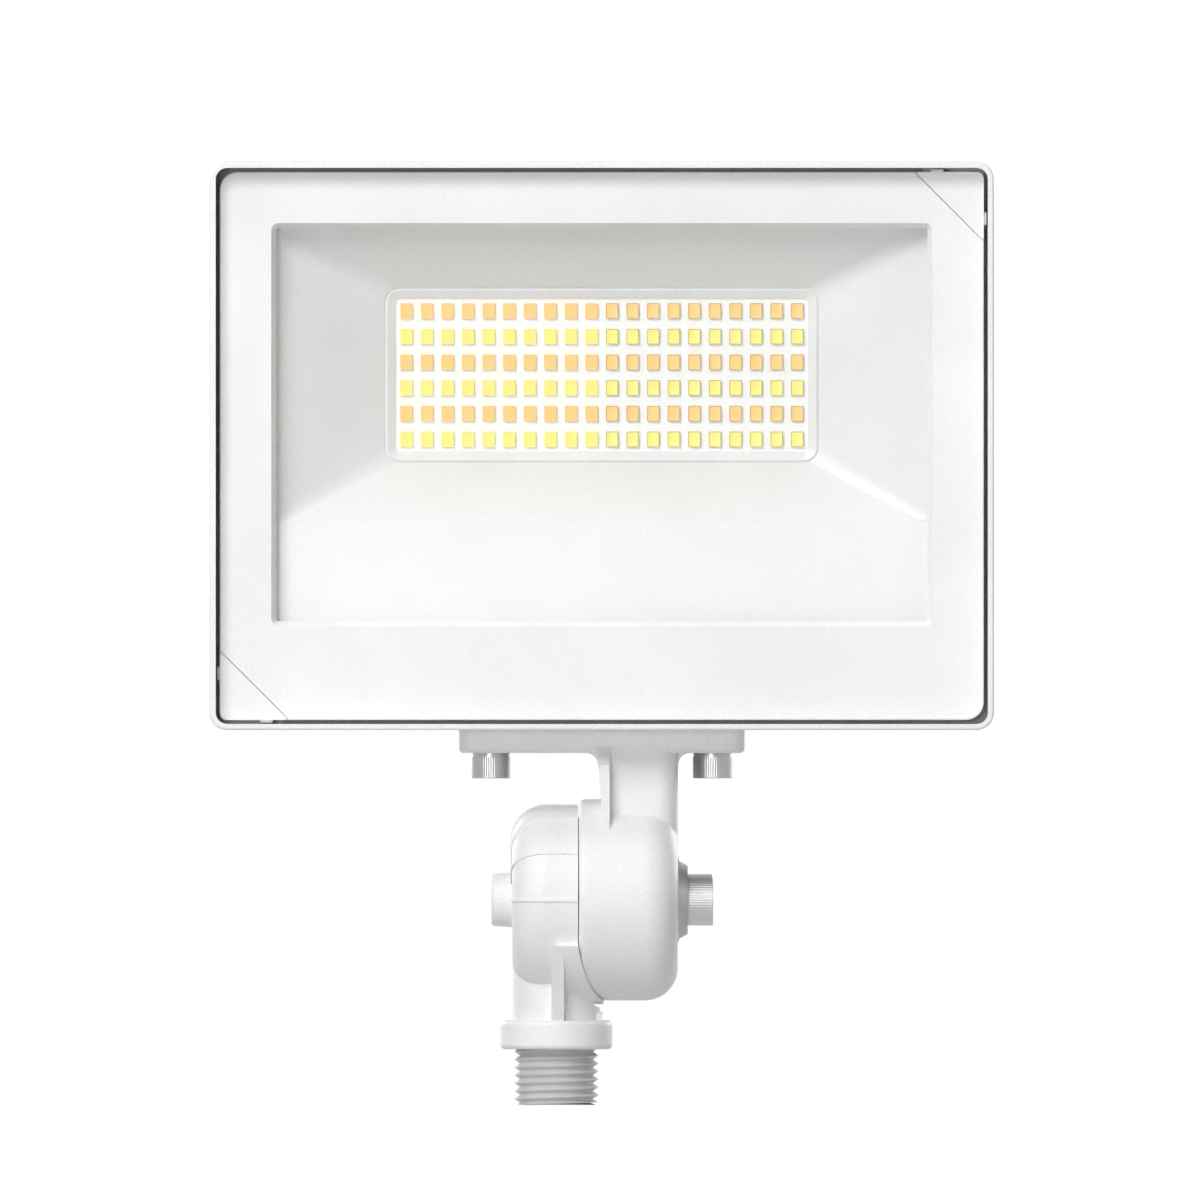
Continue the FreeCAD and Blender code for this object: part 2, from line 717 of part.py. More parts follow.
def cut_corners(rectangle, leg, radius):
    """Return a rectangle's outline with its top right and bottom left corners cut at 45 degrees."""
    return [
        (f"{rectangle.left} + {leg}", rectangle.bottom),
        (rectangle.right, rectangle.bottom, radius),
        (rectangle.right, f"{rectangle.top} - {leg}"),
        (f"{rectangle.right} - {leg}", rectangle.top),
        (rectangle.left, rectangle.top, radius),
        (rectangle.left, f"{rectangle.bottom} + {leg}"),
    ]


def make_front_frame():
    """Front frame with a drafted window, a rebate for the pane and two corner recesses."""
    body = new_body("front_frame")
    outline = new_sketch(body, out=FRAME_BACK)
    bottom_left, bottom_right, top_right, top_left = FRAME.corners()
    draw_outline(
        outline,
        [
            (*bottom_left, size("cap_corner")),
            (*bottom_right, size("frame_corner")),
            (*top_right, size("cap_corner")),
            (*top_left, size("frame_corner")),
        ],
    )
    pad(outline, size("frame_thick"))
    window = new_sketch(body, out=FRONT)
    draw_outline(window, WINDOW.corners(size("window_corner")))
    pocket(window, size("lip_thick"), taper=f"-atan({size('window_draft')} / {size('lip_thick')})")
    rebate = new_sketch(body, out=GLASS_FRONT)
    room = GLASS.inset(f"(0 - {size('glass_clear')})")
    draw_outline(rebate, room.corners(f"{size('glass_corner')} + {size('glass_clear')}"))
    pocket(rebate, f"{GLASS_FRONT} - {FRAME_BACK}")

    # Corner recesses with a counterbore and a hole for the screw
    recesses = new_sketch(body, out=FRONT)
    past = size("frame_gap")
    leg = f"{size('cap_leg')} + {size('cap_gap')} * sqrt(2)"
    draw_outline(
        recesses,
        [
            (f"{FRAME.right} - ({leg}) - {past}", f"{FRAME.top} + {past}"),
            (f"{FRAME.right} + {past}", f"{FRAME.top} - ({leg}) - {past}"),
            (f"{FRAME.right} + {past}", f"{FRAME.top} + {past}"),
        ],
    )
    draw_outline(
        recesses,
        [
            (f"{FRAME.left} + ({leg}) + {past}", f"{FRAME.bottom} - {past}"),
            (f"{FRAME.left} - {past}", f"{FRAME.bottom} + ({leg}) + {past}"),
            (f"{FRAME.left} - {past}", f"{FRAME.bottom} - {past}"),
        ],
    )
    pocket(recesses, size("cap_thick"))
    counterbores = new_sketch(body, across=HEAD_ACROSS, up=HEAD_UP, out=CAP_SEAT)
    holes = new_sketch(body, across=HEAD_ACROSS, up=HEAD_UP, out=SCREW_SEAT)
    head_room = f"{size('frame_screw_head_radius')} + {size('through_clear')}"
    for across, up in frame_screw_places():
        draw_circle(counterbores, across, up, head_room)
        draw_circle(holes, across, up, f"{size('frame_screw_radius')} + {size('through_clear')}")
    pocket(counterbores, f"{CAP_SEAT} - {SCREW_SEAT}")
    pocket(holes, f"{SCREW_SEAT} - {FRAME_BACK}")
    front = -number(FRONT)
    inner = WINDOW.inset(f"(0 - {size('side_border')} / 2)")
    keep_off = number(f"{size('cap_leg')} + {size('frame_gap')}")
    reach = number(FRAME.right) + number(FRAME.top) - keep_off
    near_left = number(FRAME.left) + number(FRAME.bottom) + keep_off

    def outer_front(edge):
        centre = edge.BoundBox.Center
        diagonal = near_left < centre.x + centre.z < reach
        return lies_at(edge, "y", front) and not within(edge, inner) and diagonal

    round_edges(body, size("frame_round"), outer_front)
    return body


def make_frame_gasket():
    """Silicone ring on the housing's ledge, led inside the two frame screws."""
    body = new_body("frame_gasket")
    ring = new_sketch(body, out=LEDGE)
    draw_outline(ring, cut_corners(GASKET, size("gasket_cut"), TRAY_CORNER))
    slope = f"{size('gasket_width')} * (2 - sqrt(2))"
    draw_outline(ring, cut_corners(GASKET_INNER, f"({size('gasket_cut')} - {slope})", size("glass_corner")))
    pad(ring, f"{FRAME_BACK} - {LEDGE}")
    return body


def make_corner_cap(label, right):
    """Triangular snap-on cover over one frame screw, with two tongues in the gap round the frame."""
    body = new_body(label)
    sketch = new_sketch(body, out=CAP_SEAT)
    tongues = new_sketch(body, out=f"{FRONT} - {size('tongue_setback')}")
    side, level, sign = (FRAME.right, FRAME.top, "-") if right else (FRAME.left, FRAME.bottom, "+")
    other = "+" if right else "-"
    leg = size("cap_leg")
    draw_outline(
        sketch,
        [
            (side, level, size("cap_corner")),
            (f"{side} {sign} {leg}", level, size("cap_tip")),
            (side, f"{level} {sign} {leg}", size("cap_tip")),
        ],
    )
    pad(sketch, size("cap_thick"))
    near = f"({leg} - {size('tongue_start')})"
    far = f"({near} - {size('tongue_width')})"
    out = size("tongue_thick")
    for run in (
        [(near, "0"), (far, "0"), (far, out), (near, out)],
        [("0", near), ("0", far), (out, far), (out, near)],
    ):
        corners = []
        for along, up in run:
            across = f"{side} {other} {along}" if along == out else f"{side} {sign} {along}"
            rise = f"{level} {other} {up}" if up == out else f"{level} {sign} {up}"
            corners.append((across, rise))
        draw_outline(tongues, corners)
    pad(tongues, size("tongue_depth"), backwards=True)
    return body


def make_frame_screws():
    """Two pan-head screws under the corner covers."""
    body = new_body("frame_screws")
    across, up = frame_screw_places()[0]
    head = new_sketch(body, across=HEAD_ACROSS, up=HEAD_UP, out=SCREW_SEAT)
    draw_circle(head, across, up, size("frame_screw_head_radius"))
    head_pad = pad(head, size("frame_screw_head"))
    shank = new_sketch(body, across=HEAD_ACROSS, up=HEAD_UP, out=SCREW_SEAT)
    draw_circle(shank, across, up, size("frame_screw_radius"))
    shank_pad = pad(shank, size("frame_screw_length"), backwards=True)
    pattern = turn_pattern(head_pad, head, "N_Axis", "360", "2")
    pattern.Originals = [head_pad, shank_pad]
    return body


def make_lens_pane():
    """Clear pane in the frame's rebate."""
    body = new_body("lens_pane")
    sketch = new_sketch(body, out=GLASS_BACK)
    draw_outline(sketch, GLASS.corners(size("glass_corner")))
    pad(sketch, size("glass_thick"))
    return body


def make_lens_seal():
    """Silicone ring between the pane and the reflector's rim."""
    body = new_body("lens_seal")
    sketch = new_sketch(body, out=BOWL_FRONT)
    draw_outline(sketch, GLASS.corners(size("glass_corner")))
    inner = SIGHT.inset(f"(0 - {size('lens_seal_setback')})")
    draw_outline(sketch, inner.corners(size("window_corner")))
    pad(sketch, size("lens_seal_thick"))
    return body


def loft(body, kind, sketches):
    """Join sketches by flat faces, adding to or cutting from the body."""
    feature = body.newObject(f"PartDesign::{kind}", kind)
    feature.Profile = sketches[0]
    feature.Sections = sketches[1:]
    feature.Ruled = True
    return feature


def make_reflector():
    """White moulded bowl: rim, four sloping walls, groove and lip round the light source."""
    body = new_body("reflector")
    wall = size("reflector_wall")
    half_wall = f"({wall} / 2)"
    rim = new_sketch(body, out=LEDGE)
    draw_outline(rim, cut_corners(REFLECTOR_RIM, f"{size('gasket_cut')}", size("glass_corner")))
    pad(rim, wall)
    outer_mouth = new_sketch(body, out=LEDGE)
    outside = BOWL.inset(f"(0 - {half_wall})")
    draw_outline(outer_mouth, outside.corners(f"{size('bowl_corner')} + {half_wall}"))
    outer_base = new_sketch(body, out=BOARD_FRONT)
    outside = WELL.inset(f"(0 - {half_wall})")
    draw_outline(outer_base, outside.corners(f"{size('well_corner')} + {half_wall}"))
    loft(body, "AdditiveLoft", [outer_mouth, outer_base])
    mouth = new_sketch(body, out=BOWL_FRONT)
    draw_outline(mouth, BOWL.corners(size("bowl_corner")))
    base = new_sketch(body, out=LIP_FRONT)
    draw_outline(base, WELL.corners(size("well_corner")))
    loft(body, "SubtractiveLoft", [mouth, base])
    line = new_sketch(body, out=LIP_FRONT)
    draw_outline(line, WELL.corners(size("well_corner")))
    inside = WELL.inset(size("well_groove"))
    draw_outline(line, inside.corners(f"{size('well_corner')} - {size('well_groove')}"))
    pocket(line, size("well_groove"))
    slope_top = new_sketch(body, out=LIP_FRONT)
    edge = f"({size('well_groove')} + {size('lip_flat')})"
    draw_outline(slope_top, WELL.inset(edge).corners(f"{size('well_corner')} - {edge}"))
    slope_foot = new_sketch(body, out=f"{BOARD_FRONT} + {size('lip_edge')}")
    draw_outline(slope_foot, LED_WINDOW.corners(size("led_window_corner")))
    loft(body, "SubtractiveLoft", [slope_top, slope_foot])
    sight = new_sketch(body, out=f"{BOARD_FRONT} + {size('lip_edge')}")
    draw_outline(sight, LED_WINDOW.corners(size("led_window_corner")))
    pocket(sight, size("lip_edge"))
    return body


def make_led_board():
    """White board that carries the chips."""
    body = new_body("led_board")
    sketch = new_sketch(body, out=BOARD_BACK)
    draw_outline(sketch, BOARD.corners(size("board_corner")))
    for across, up in BOARD_SCREWS.corners():
        draw_circle(sketch, across, up, f"{size('board_screw_radius')} + {size('through_clear')}")
    pad(sketch, size("board_thick"))
    return body


def make_leds(label, first_row):
    """One tint's chips: every other row of the grid, counted from the top."""
    body = new_body(label)
    left = f"({HEAD_ACROSS} - {LED_SPAN_ACROSS} / 2)"
    top = f"({LIGHT_UP} + {LED_SPAN_DOWN} / 2 - {first_row} * {size('led_pitch_down')})"
    rows_down = f"(2 * ({size('led_row_pairs')} - 1) * {size('led_pitch_down')})"
    sketch = new_sketch(body, out=BOARD_FRONT)
    chip = centred(left, f"({top} - {rows_down})", size("led_width"), size("led_height"))
    draw_outline(sketch, chip.corners())
    feature = pad(sketch, size("led_thick"))
    rows = ("Z_Axis", rows_down, size("led_row_pairs"))
    row_pattern(feature, "X_Axis", LED_SPAN_ACROSS, size("led_columns"), rows)
    return body


def make_thermal_pad():
    """Soft pad that carries heat from the board to the housing."""
    body = new_body("thermal_pad")
    sketch = new_sketch(body, out=FLOOR)
    draw_outline(sketch, PAD.corners())
    pad(sketch, size("pad_thick"))
    return body


def make_board_screws():
    """Four low-head screws at the board's corners."""
    body = new_body("board_screws")
    heads = new_sketch(body, out=BOARD_FRONT)
    shanks = new_sketch(body, out=BOARD_FRONT)
    for across, up in BOARD_SCREWS.corners():
        draw_circle(heads, across, up, size("board_screw_head_radius"))
        draw_circle(shanks, across, up, size("board_screw_radius"))
    pad(heads, size("board_screw_head"))
    pad(shanks, f"{BOARD_FRONT} - {FLOOR} + {size('board_screw_grip')}", backwards=True)
    return body


def make_driver_module():
    """Potted driver with an ear at each end."""
    body = new_body("driver_module")
    block = new_sketch(body, out=BAY_FLOOR)
    draw_outline(block, DRIVER.corners(size("driver_round")))
    pad(block, size("driver_depth"))
    front = -number(DRIVER_FRONT)
    round_edges(body, size("driver_round"), lambda edge: lies_at(edge, "y", front), "Chamfer")
    ears = new_sketch(body, across=HEAD_ACROSS, up=DRIVER_UP, out=POST_TOP)
    ear_height = f"2 * {size('driver_post_radius')}"
    for side in ("", "0 - "):
        ear = centred(f"{side}{EAR_SPREAD} / 2", "0", size("driver_ear"), ear_height)
        draw_outline(ears, ear.corners())
        hole = f"{size('driver_screw_radius')} + {size('through_clear')}"
        draw_circle(ears, f"{side}{EAR_SPREAD} / 2", "0", hole)
    pad(ears, size("driver_ear_thick"))
    return body


def make_driver_screws():
    """Two pan-head screws through the driver's ears."""
    body = new_body("driver_screws")
    heads = new_sketch(body, across=HEAD_ACROSS, up=DRIVER_UP, out=EAR_FRONT)
    shanks = new_sketch(body, across=HEAD_ACROSS, up=DRIVER_UP, out=EAR_FRONT)
    for side in ("", "0 - "):
        draw_circle(heads, f"{side}{EAR_SPREAD} / 2", "0", size("driver_screw_head_radius"))
        draw_circle(shanks, f"{side}{EAR_SPREAD} / 2", "0", size("driver_screw_radius"))
    pad(heads, size("driver_screw_head"))
    length = f"{size('driver_ear_thick')} + {size('driver_post')} - {size('through_clear')}"
    pad(shanks, length, backwards=True)
    return body


def rounded_path(points, radius):
    """Return a wire through points, each inner one replaced by a tangent arc."""
    edges, start = [], points[0]
    for before, here, after in zip(points, points[1:], points[2:]):
        back = (before - here).normalize()
        ahead = (after - here).normalize()
        half = back.getAngle(ahead) / 2
        reach = radius / math.tan(half)
        middle_reach = radius / math.sin(half) - radius
        middle = here + (back + ahead).normalize() * middle_reach
        arrive, leave = here + back * reach, here + ahead * reach
        edges.append(Part.LineSegment(start, arrive).toShape())
        edges.append(Part.Arc(arrive, middle, leave).toShape())
        start = leave
    edges.append(Part.LineSegment(start, points[-1]).toShape())
    return Part.Wire(edges)


def make_board_leads():
    """Leads from the driver's front face up to the board's lower edge."""
    radius = number(size("lead_radius"))
    middle = number(HEAD_ACROSS)
    low = number(DRIVER_TOP) - number(size("lead_drop"))
    landing = number(BOARD.bottom) + number(size("lead_landing"))
    outlet = number(DRIVER_FRONT)
    out = outlet + number(size("lead_reach"))
    on_board = number(BOARD_FRONT) + radius
    leads = []
    count = round(number(size("lead_count")))
    for place in range(count):
        across = middle + (place - (count - 1) / 2) * number(size("lead_pitch"))
        route = [
            FreeCAD.Vector(across, -outlet, low),
            FreeCAD.Vector(across, -out, low),
            FreeCAD.Vector(across, -out, landing - number(size("lead_landing")) - (out - on_board)),
            FreeCAD.Vector(across, -on_board, landing - number(size("lead_landing"))),
            FreeCAD.Vector(across, -on_board, landing),
        ]
        path = rounded_path(route, number(size("lead_bend")))
        section = Part.Wire(Part.makeCircle(radius, route[0], FreeCAD.Vector(0, -1, 0)))
        leads.append(path.makePipeShell([section], True, False))
    feature = doc.addObject("Part::Feature", "BoardLeads")
    feature.Label = "board_leads"
    feature.Shape = Part.makeCompound(leads)
    return feature


def make_wire_grommet():
    """Rubber bush in the housing's wire entry."""
    body = new_body("wire_grommet")
    sketch = new_sketch(body, across=NECK_ACROSS, up=HEAD_BOTTOM)
    depth = f"({CAVITY.bottom} - {HEAD_BOTTOM})"
    wide = f"{size('grommet_radius')} + {size('grommet_flange')}"
    draw_outline(
        sketch,
        [
            (size("grommet_bore"), "0"),
            (size("grommet_radius"), "0"),
            (size("grommet_radius"), depth),
            (wide, depth),
            (wide, f"{depth} + {size('grommet_flange_thick')}"),
            (size("grommet_bore"), f"{depth} + {size('grommet_flange_thick')}"),
        ],
    )
    revolve(sketch, "V_Axis")
    return body


def make_knuckle_upper():
    """Upper knuckle half: bolted plate, ribbed neck and hollow disc."""
    body = new_body("knuckle_upper")
    plate = new_sketch(body, "XY_Plane", out=PLATE_BOTTOM)
    outline = centred(HEAD_ACROSS, "0", PLATE_WIDTH, size("plate_depth"))
    draw_outline(plate, outline.corners(size("plate_corner")))
    pad(plate, size("plate_thick"))
    under = number(PLATE_BOTTOM)
    round_edges(body, size("plate_round"), lambda edge: lies_at(edge, "z", under))

    # Neck, level with the plate's front and back, and a proud rib down each of them
    deep = f"({size('plate_depth')} / 2 - {size('neck_step')})"
    rooted = f"({size('plate_thick')} / 2)"
    drop = f"({PLATE_BOTTOM} - {AXIS_UP} - {size('neck_sink')})"
    neck = new_sketch(body, "XY_Plane", out=f"{PLATE_BOTTOM} + {rooted}")
    draw_outline(
        neck,
        [
            (NECK_LEFT, f"0 - {deep}"),
            (DISC_RIGHT, f"0 - {deep}", size("neck_round")),
            (DISC_RIGHT, deep, size("neck_round")),
            (NECK_LEFT, deep),
        ],
    )
    pad(neck, f"{drop} + {rooted}", backwards=True)
    rib = new_sketch(body, "YZ_Plane", up=PLATE_BOTTOM, out=f"{NECK_LEFT} + {size('neck_rib')} / 2")
    proud = f"({deep} + {size('rib_proud')})"
    draw_outline(
        rib,
        [
            (f"0 - {proud}", f"0 - {drop}"),
            (proud, f"0 - {drop}"),
            (proud, f"0 - {size('rib_slope')}"),
            (deep, size("rib_rise")),
            (f"0 - {deep}", size("rib_rise")),
            (f"0 - {proud}", f"0 - {size('rib_slope')}"),
        ],
    )
    pad(rib, size("neck_rib"), both_ways=True)
    lean = new_sketch(body, up=PLATE_BOTTOM)
    lean_foot = f"({NECK_LEFT} + {size('neck_lean')})"
    draw_outline(lean, [(NECK_LEFT, "0"), (NECK_LEFT, f"0 - {drop}"), (lean_foot, f"0 - {drop}")])
    pocket(lean, f"2 * {proud}", both_ways=True)

    # Flares under the plate, the right one between the neck's rounded corners
    flare = f"({size('neck_fillet')} + {size('flare_land')})"
    drawn_in = f"({NECK_LEFT} + {size('neck_lean')} * {flare} / {drop})"
    left_flare = new_sketch(body, up=PLATE_BOTTOM)
    draw_outline(
        left_flare,
        [
            (f"{NECK_LEFT} - {flare}", rooted),
            (f"{NECK_LEFT} - {flare}", size("neck_step")),
            (NECK_LEFT, size("neck_step"), size("neck_fillet")),
            (drawn_in, f"0 - {flare}"),
            (f"{NECK_LEFT} + {size('neck_rib')}", f"0 - {flare}"),
            (f"{NECK_LEFT} + {size('neck_rib')}", rooted),
        ],
    )
    pad(left_flare, f"2 * {deep}", both_ways=True)
    right_flare = new_sketch(body, up=PLATE_BOTTOM)
    draw_outline(
        right_flare,
        [
            (f"{DISC_RIGHT} - {size('neck_round')}", rooted),
            (f"{DISC_RIGHT} - {size('neck_round')}", f"0 - {flare}"),
            (DISC_RIGHT, f"0 - {flare}"),
            (DISC_RIGHT, size("neck_step"), size("neck_fillet")),
            (f"{DISC_RIGHT} + {flare}", size("neck_step")),
            (f"{DISC_RIGHT} + {flare}", rooted),
        ],
    )
    pad(right_flare, f"2 * ({deep} - {size('neck_round')})", both_ways=True)

    # Disc with a rounded outer edge and a raised face for the washer
    disc = new_sketch(body, up=AXIS_UP)
    draw_outline(
        disc,
        [
            (SPLIT_UPPER, "0"),
            (SPOT_FACE, "0"),
            (SPOT_FACE, size("spot_radius")),
            (DISC_RIGHT, size("spot_radius")),
            (DISC_RIGHT, size("disc_upper_radius"), size("disc_upper_round")),
            (SPLIT_UPPER, size("disc_upper_radius"), size("disc_edge_round")),
        ],
    )
    revolve(disc)

    # Wiring cavity, neck bore, bolt hole, screw holes and seal groove
    cavity = new_sketch(body, up=AXIS_UP)
    wide = f"({size('disc_upper_radius')} - {size('knuckle_wall')})"
    inner = f"({SPLIT_UPPER} + {size('knuckle_wall')})"
    outer = f"({DISC_RIGHT} - {size('knuckle_wall')})"
    draw_outline(
        cavity,
        [
            (SPLIT_UPPER, size("hub_radius")),
            (outer, size("hub_radius")),
            (outer, f"{wide} - {size('knuckle_wall')}"),
            (f"{outer} - {size('knuckle_wall')}", wide),
            (inner, wide),
            (inner, LAND_INNER),
            (SPLIT_UPPER, LAND_INNER),
        ],
    )
    groove(cavity)
    bore = new_sketch(body, "XY_Plane", out=PLATE_TOP)
    draw_circle(bore, NECK_ACROSS, "0", size("neck_bore"))
    pocket(bore, f"{PLATE_TOP} - {AXIS_UP} - {wide} + {size('knuckle_wall')}")
    bolt_hole = new_sketch(body, "YZ_Plane", up=AXIS_UP, out=SPOT_FACE)
    draw_circle(bolt_hole, "0", "0", f"{size('bolt_radius')} + {size('bolt_clear')}")
    pocket(bolt_hole, f"{SPOT_FACE} - {SPLIT_UPPER}")
    screw_holes = new_sketch(body, "XY_Plane", across=HEAD_ACROSS, out=PLATE_TOP)
    for side in ("", "0 - "):
        draw_circle(screw_holes, f"{side}{PLATE_SCREW_REACH}", "0", size("plate_screw_hole"))
    pocket(screw_holes, size("plate_thick"))
    seal = new_sketch(body, "XY_Plane", out=PLATE_TOP)
    draw_circle(seal, NECK_ACROSS, "0", f"{size('plate_seal_radius')} + {SEAL_WIDE}")
    draw_circle(seal, NECK_ACROSS, "0", f"{size('plate_seal_radius')} - {SEAL_WIDE}")
    pocket(seal, f"2 * {size('seal_section')}")
    return body


def make_ring(label, radius, place, upright):
    """Round-section sealing ring about a place, lying flat or turned about the tilt axis."""
    ring = doc.addObject("Part::Torus", "".join(word.capitalize() for word in label.split("_")))
    ring.Label = label
    ring.setExpression("Radius1", radius)
    ring.setExpression("Radius2", size("seal_section"))
    if upright:
        ring.Placement = FreeCAD.Placement(
            FreeCAD.Vector(0, 0, 0), FreeCAD.Rotation(FreeCAD.Vector(0, 1, 0), 90)
        )
    for letter, expression in zip("xyz", place):
        ring.setExpression(f"Placement.Base.{letter}", expression)
    return ring


def make_plate_screws():
    """Two socket head cap screws that hold the plate to the housing."""
    body = new_body("plate_screws")
    left = f"({HEAD_ACROSS} - {PLATE_SCREW_REACH})"
    screw = new_sketch(body, across=left, up=WASHER_BOTTOM)
    bottom = f"(0 - {size('plate_screw_head')})"
    top = f"({HEAD_BOTTOM} + {size('plate_screw_grip')} - {WASHER_BOTTOM})"
    draw_outline(
        screw,
        [
            ("0", bottom),
            (size("plate_screw_head_radius"), bottom, size("bolt_head_round")),
            (size("plate_screw_head_radius"), "0"),
            (size("plate_screw_radius"), "0"),
            (size("plate_screw_radius"), top),
            ("0", top),
        ],
    )
    turned = revolve(screw, "V_Axis")
    key = new_sketch(body, "XY_Plane", across=left, out=f"{WASHER_BOTTOM} + {bottom}")
    draw_hexagon(key, size("plate_screw_key"))
    socket = pocket(key, f"{size('plate_screw_head')} / 2", backwards=True)
    pattern = row_pattern(turned, "X_Axis", PLATE_SCREW_SPREAD, "2")
    pattern.Originals = [turned, socket]
    return body


def make_plate_spring_washers():
    """Two split spring washers under the plate screws' heads."""
    body = new_body("plate_spring_washers")
    left = f"({HEAD_ACROSS} - {PLATE_SCREW_REACH})"
    ring = new_sketch(body, "XY_Plane", across=left, out=WASHER_BOTTOM)
    draw_circle(ring, "0", "0", size("spring_washer_radius"))
    draw_circle(ring, "0", "0", f"{size('plate_screw_radius')} + {size('through_clear')}")
    turned = pad(ring, size("spring_washer_thick"))
    slit = new_sketch(body, "XY_Plane", across=left, out=PLATE_BOTTOM)
    radius = size("spring_washer_radius")
    draw_outline(slit, centred("0", radius, size("spring_washer_slit"), f"2 * {radius}").corners())
    cut = pocket(slit, size("spring_washer_thick"))
    pattern = row_pattern(turned, "X_Axis", PLATE_SCREW_SPREAD, "2")
    pattern.Originals = [turned, cut]
    return body


def make_knuckle_lower():
    """Lower knuckle half: domed disc with index ribs, gusseted stem and flange."""
    body = new_body("knuckle_lower")
    lower_radius = size("disc_lower_radius")
    boss_root = f"({size('boss_radius')} + {size('boss_draft')})"
    dome = new_sketch(body, up=AXIS_UP)
    draw_outline(
        dome,
        [
            (BOSS_LEFT, "0"),
            (SPLIT_LOWER, "0"),
            (SPLIT_LOWER, lower_radius),
            (DISC_LEFT, lower_radius, size("disc_lower_round")),
            (DISC_LEFT, boss_root),
            (BOSS_LEFT, size("boss_radius"), size("boss_round")),
        ],
    )
    revolve(dome)

    # Index ribs, a quarter turn of them from the top to the front
    rib = new_sketch(body, up=AXIS_UP)
    proud = size("index_rib_height")
    rib_wall = f"(2 * {proud})"
    rib_round = f"({size('disc_lower_round')} + {proud})"
    inner_round = f"({size('disc_lower_round')} - {proud})"
    draw_outline(
        rib,
        [
            (f"{DISC_LEFT} - {proud}", size("index_rib_inner")),
            (f"{DISC_LEFT} - {proud} + {rib_wall}", size("index_rib_inner")),
            (f"{DISC_LEFT} - {proud} + {rib_wall}", f"{lower_radius} + {proud} - {rib_wall}", inner_round),
            (SPLIT_LOWER, f"{lower_radius} + {proud} - {rib_wall}"),
            (SPLIT_LOWER, f"{lower_radius} + {proud}"),
            (f"{DISC_LEFT} - {proud}", f"{lower_radius} + {proud}", rib_round),
        ],
    )
    first_rib = pad(rib, size("index_rib_thick"), both_ways=True)
    turn_pattern(first_rib, rib, "H_Axis", size("index_rib_span"), size("index_rib_count"))

    # Stem, flange and the gussets that tie them to the disc
    stem = new_sketch(body, "XY_Plane")
    draw_circle(stem, "0", "0", size("stem_radius"))
    pad(stem, f"{AXIS_UP} - {size('stem_sink')}")
    flange = new_sketch(body)
    draw_outline(
        flange,
        [
            ("0", "0"),
            (size("flange_radius"), "0", size("flange_round")),
            (size("flange_radius"), size("flange_height"), size("flange_round")),
            ("0", size("flange_height")),
        ],
    )
    revolve(flange, "V_Axis")
    gusset = new_sketch(body, "YZ_Plane", up=AXIS_UP, out=size("gusset_offset"))
    top = size("gusset_top")
    proud_radius = f"({lower_radius} + {size('gusset_proud')})"
    reach = f"sqrt({proud_radius} * {proud_radius} - {top} * {top})"
    foot_level = f"({size('flange_height')} - {size('flange_round')} - {AXIS_UP})"
    draw_outline(
        gusset,
        [
            (f"0 - {reach}", f"0 - {top}"),
            (f"0 - {size('gusset_foot')}", foot_level),
            (size("gusset_foot"), foot_level),
            (reach, f"0 - {top}"),
        ],
    )
    pad(gusset, size("gusset_thick"), both_ways=True)
    gusset_left = number(f"{size('gusset_offset')} - {size('gusset_thick')} / 2")
    gusset_level = number(f"{AXIS_UP} - {top}")
    round_edges(
        body,
        size("gusset_round"),
        lambda edge: lies_at(edge, "x", gusset_left) and lies_at(edge, "z", gusset_level),
    )
    lug = new_sketch(body, "XY_Plane", out=f"{size('flange_height')} - {size('flange_round')}")
    lug_across = f"({size('lug_reach')} / 2)"
    draw_outline(lug, centred(lug_across, "0", size("lug_reach"), size("lug_depth")).corners())
    pad(lug, f"{size('stop_clear')} + {size('flange_round')} + {size('swing_clear')}")

    # Room for the upper disc beside the stem, which leaves a stop lug on the flange
    swing = new_sketch(body, up=AXIS_UP)
    disc_room = f"({size('disc_upper_radius')} + {size('swing_clear')})"
    stop_room = f"({size('disc_upper_radius')} + {size('stop_clear')})"
    past = f"({size('flange_radius')} + {size('stop_clear')})"
    draw_outline(
        swing,
        [
            (SPLIT_LOWER, "0"),
            (past, "0"),
            (past, stop_room),
            (size("stem_flat"), stop_room),
            (size("stem_flat"), disc_room),
            (SPLIT_LOWER, disc_room),
        ],
    )
    groove(swing)

    # Skirt that reaches under the upper disc as a thin lip, narrower towards its ends
    skirt = new_sketch(body, up=AXIS_UP)
    skirt_inner = f"({lower_radius} - {size('knuckle_wall')} / 2)"
    tip_across = f"({SPLIT_LOWER} + {size('skirt_overhang')})"
    draw_outline(
        skirt,
        [
            (size("gusset_offset"), f"0 - {skirt_inner}"),
            (size("gusset_offset"), f"0 - ({disc_room} + {size('skirt_root_wall')})"),
            (tip_across, f"0 - ({disc_room} + {size('skirt_tip_wall')})"),
            (tip_across, f"0 - {disc_room}"),
            (f"{SPLIT_UPPER} + {size('disc_edge_round')}", f"0 - {disc_room}"),
            (SPLIT_LOWER, f"0 - ({disc_room} - {size('disc_edge_round')} / 4)"),
            (SPLIT_LOWER, f"0 - {skirt_inner}"),
        ],
    )
    revolve(skirt, span=size("skirt_span"))
    taper = new_sketch(body, "XY_Plane", out=f"{AXIS_UP} - {stop_room}")
    draw_outline(
        taper,
        [
            (SPLIT_LOWER, f"0 - {stop_room}"),
            (past, f"0 - {stop_room}"),
            (past, stop_room),
            (SPLIT_LOWER, stop_room),
            (SPLIT_LOWER, reach),
            (f"{SPLIT_LOWER} + {size('skirt_taper')}", "0"),
            (SPLIT_LOWER, f"0 - {reach}"),
        ],
    )
    pocket(taper, stop_room, backwards=True)

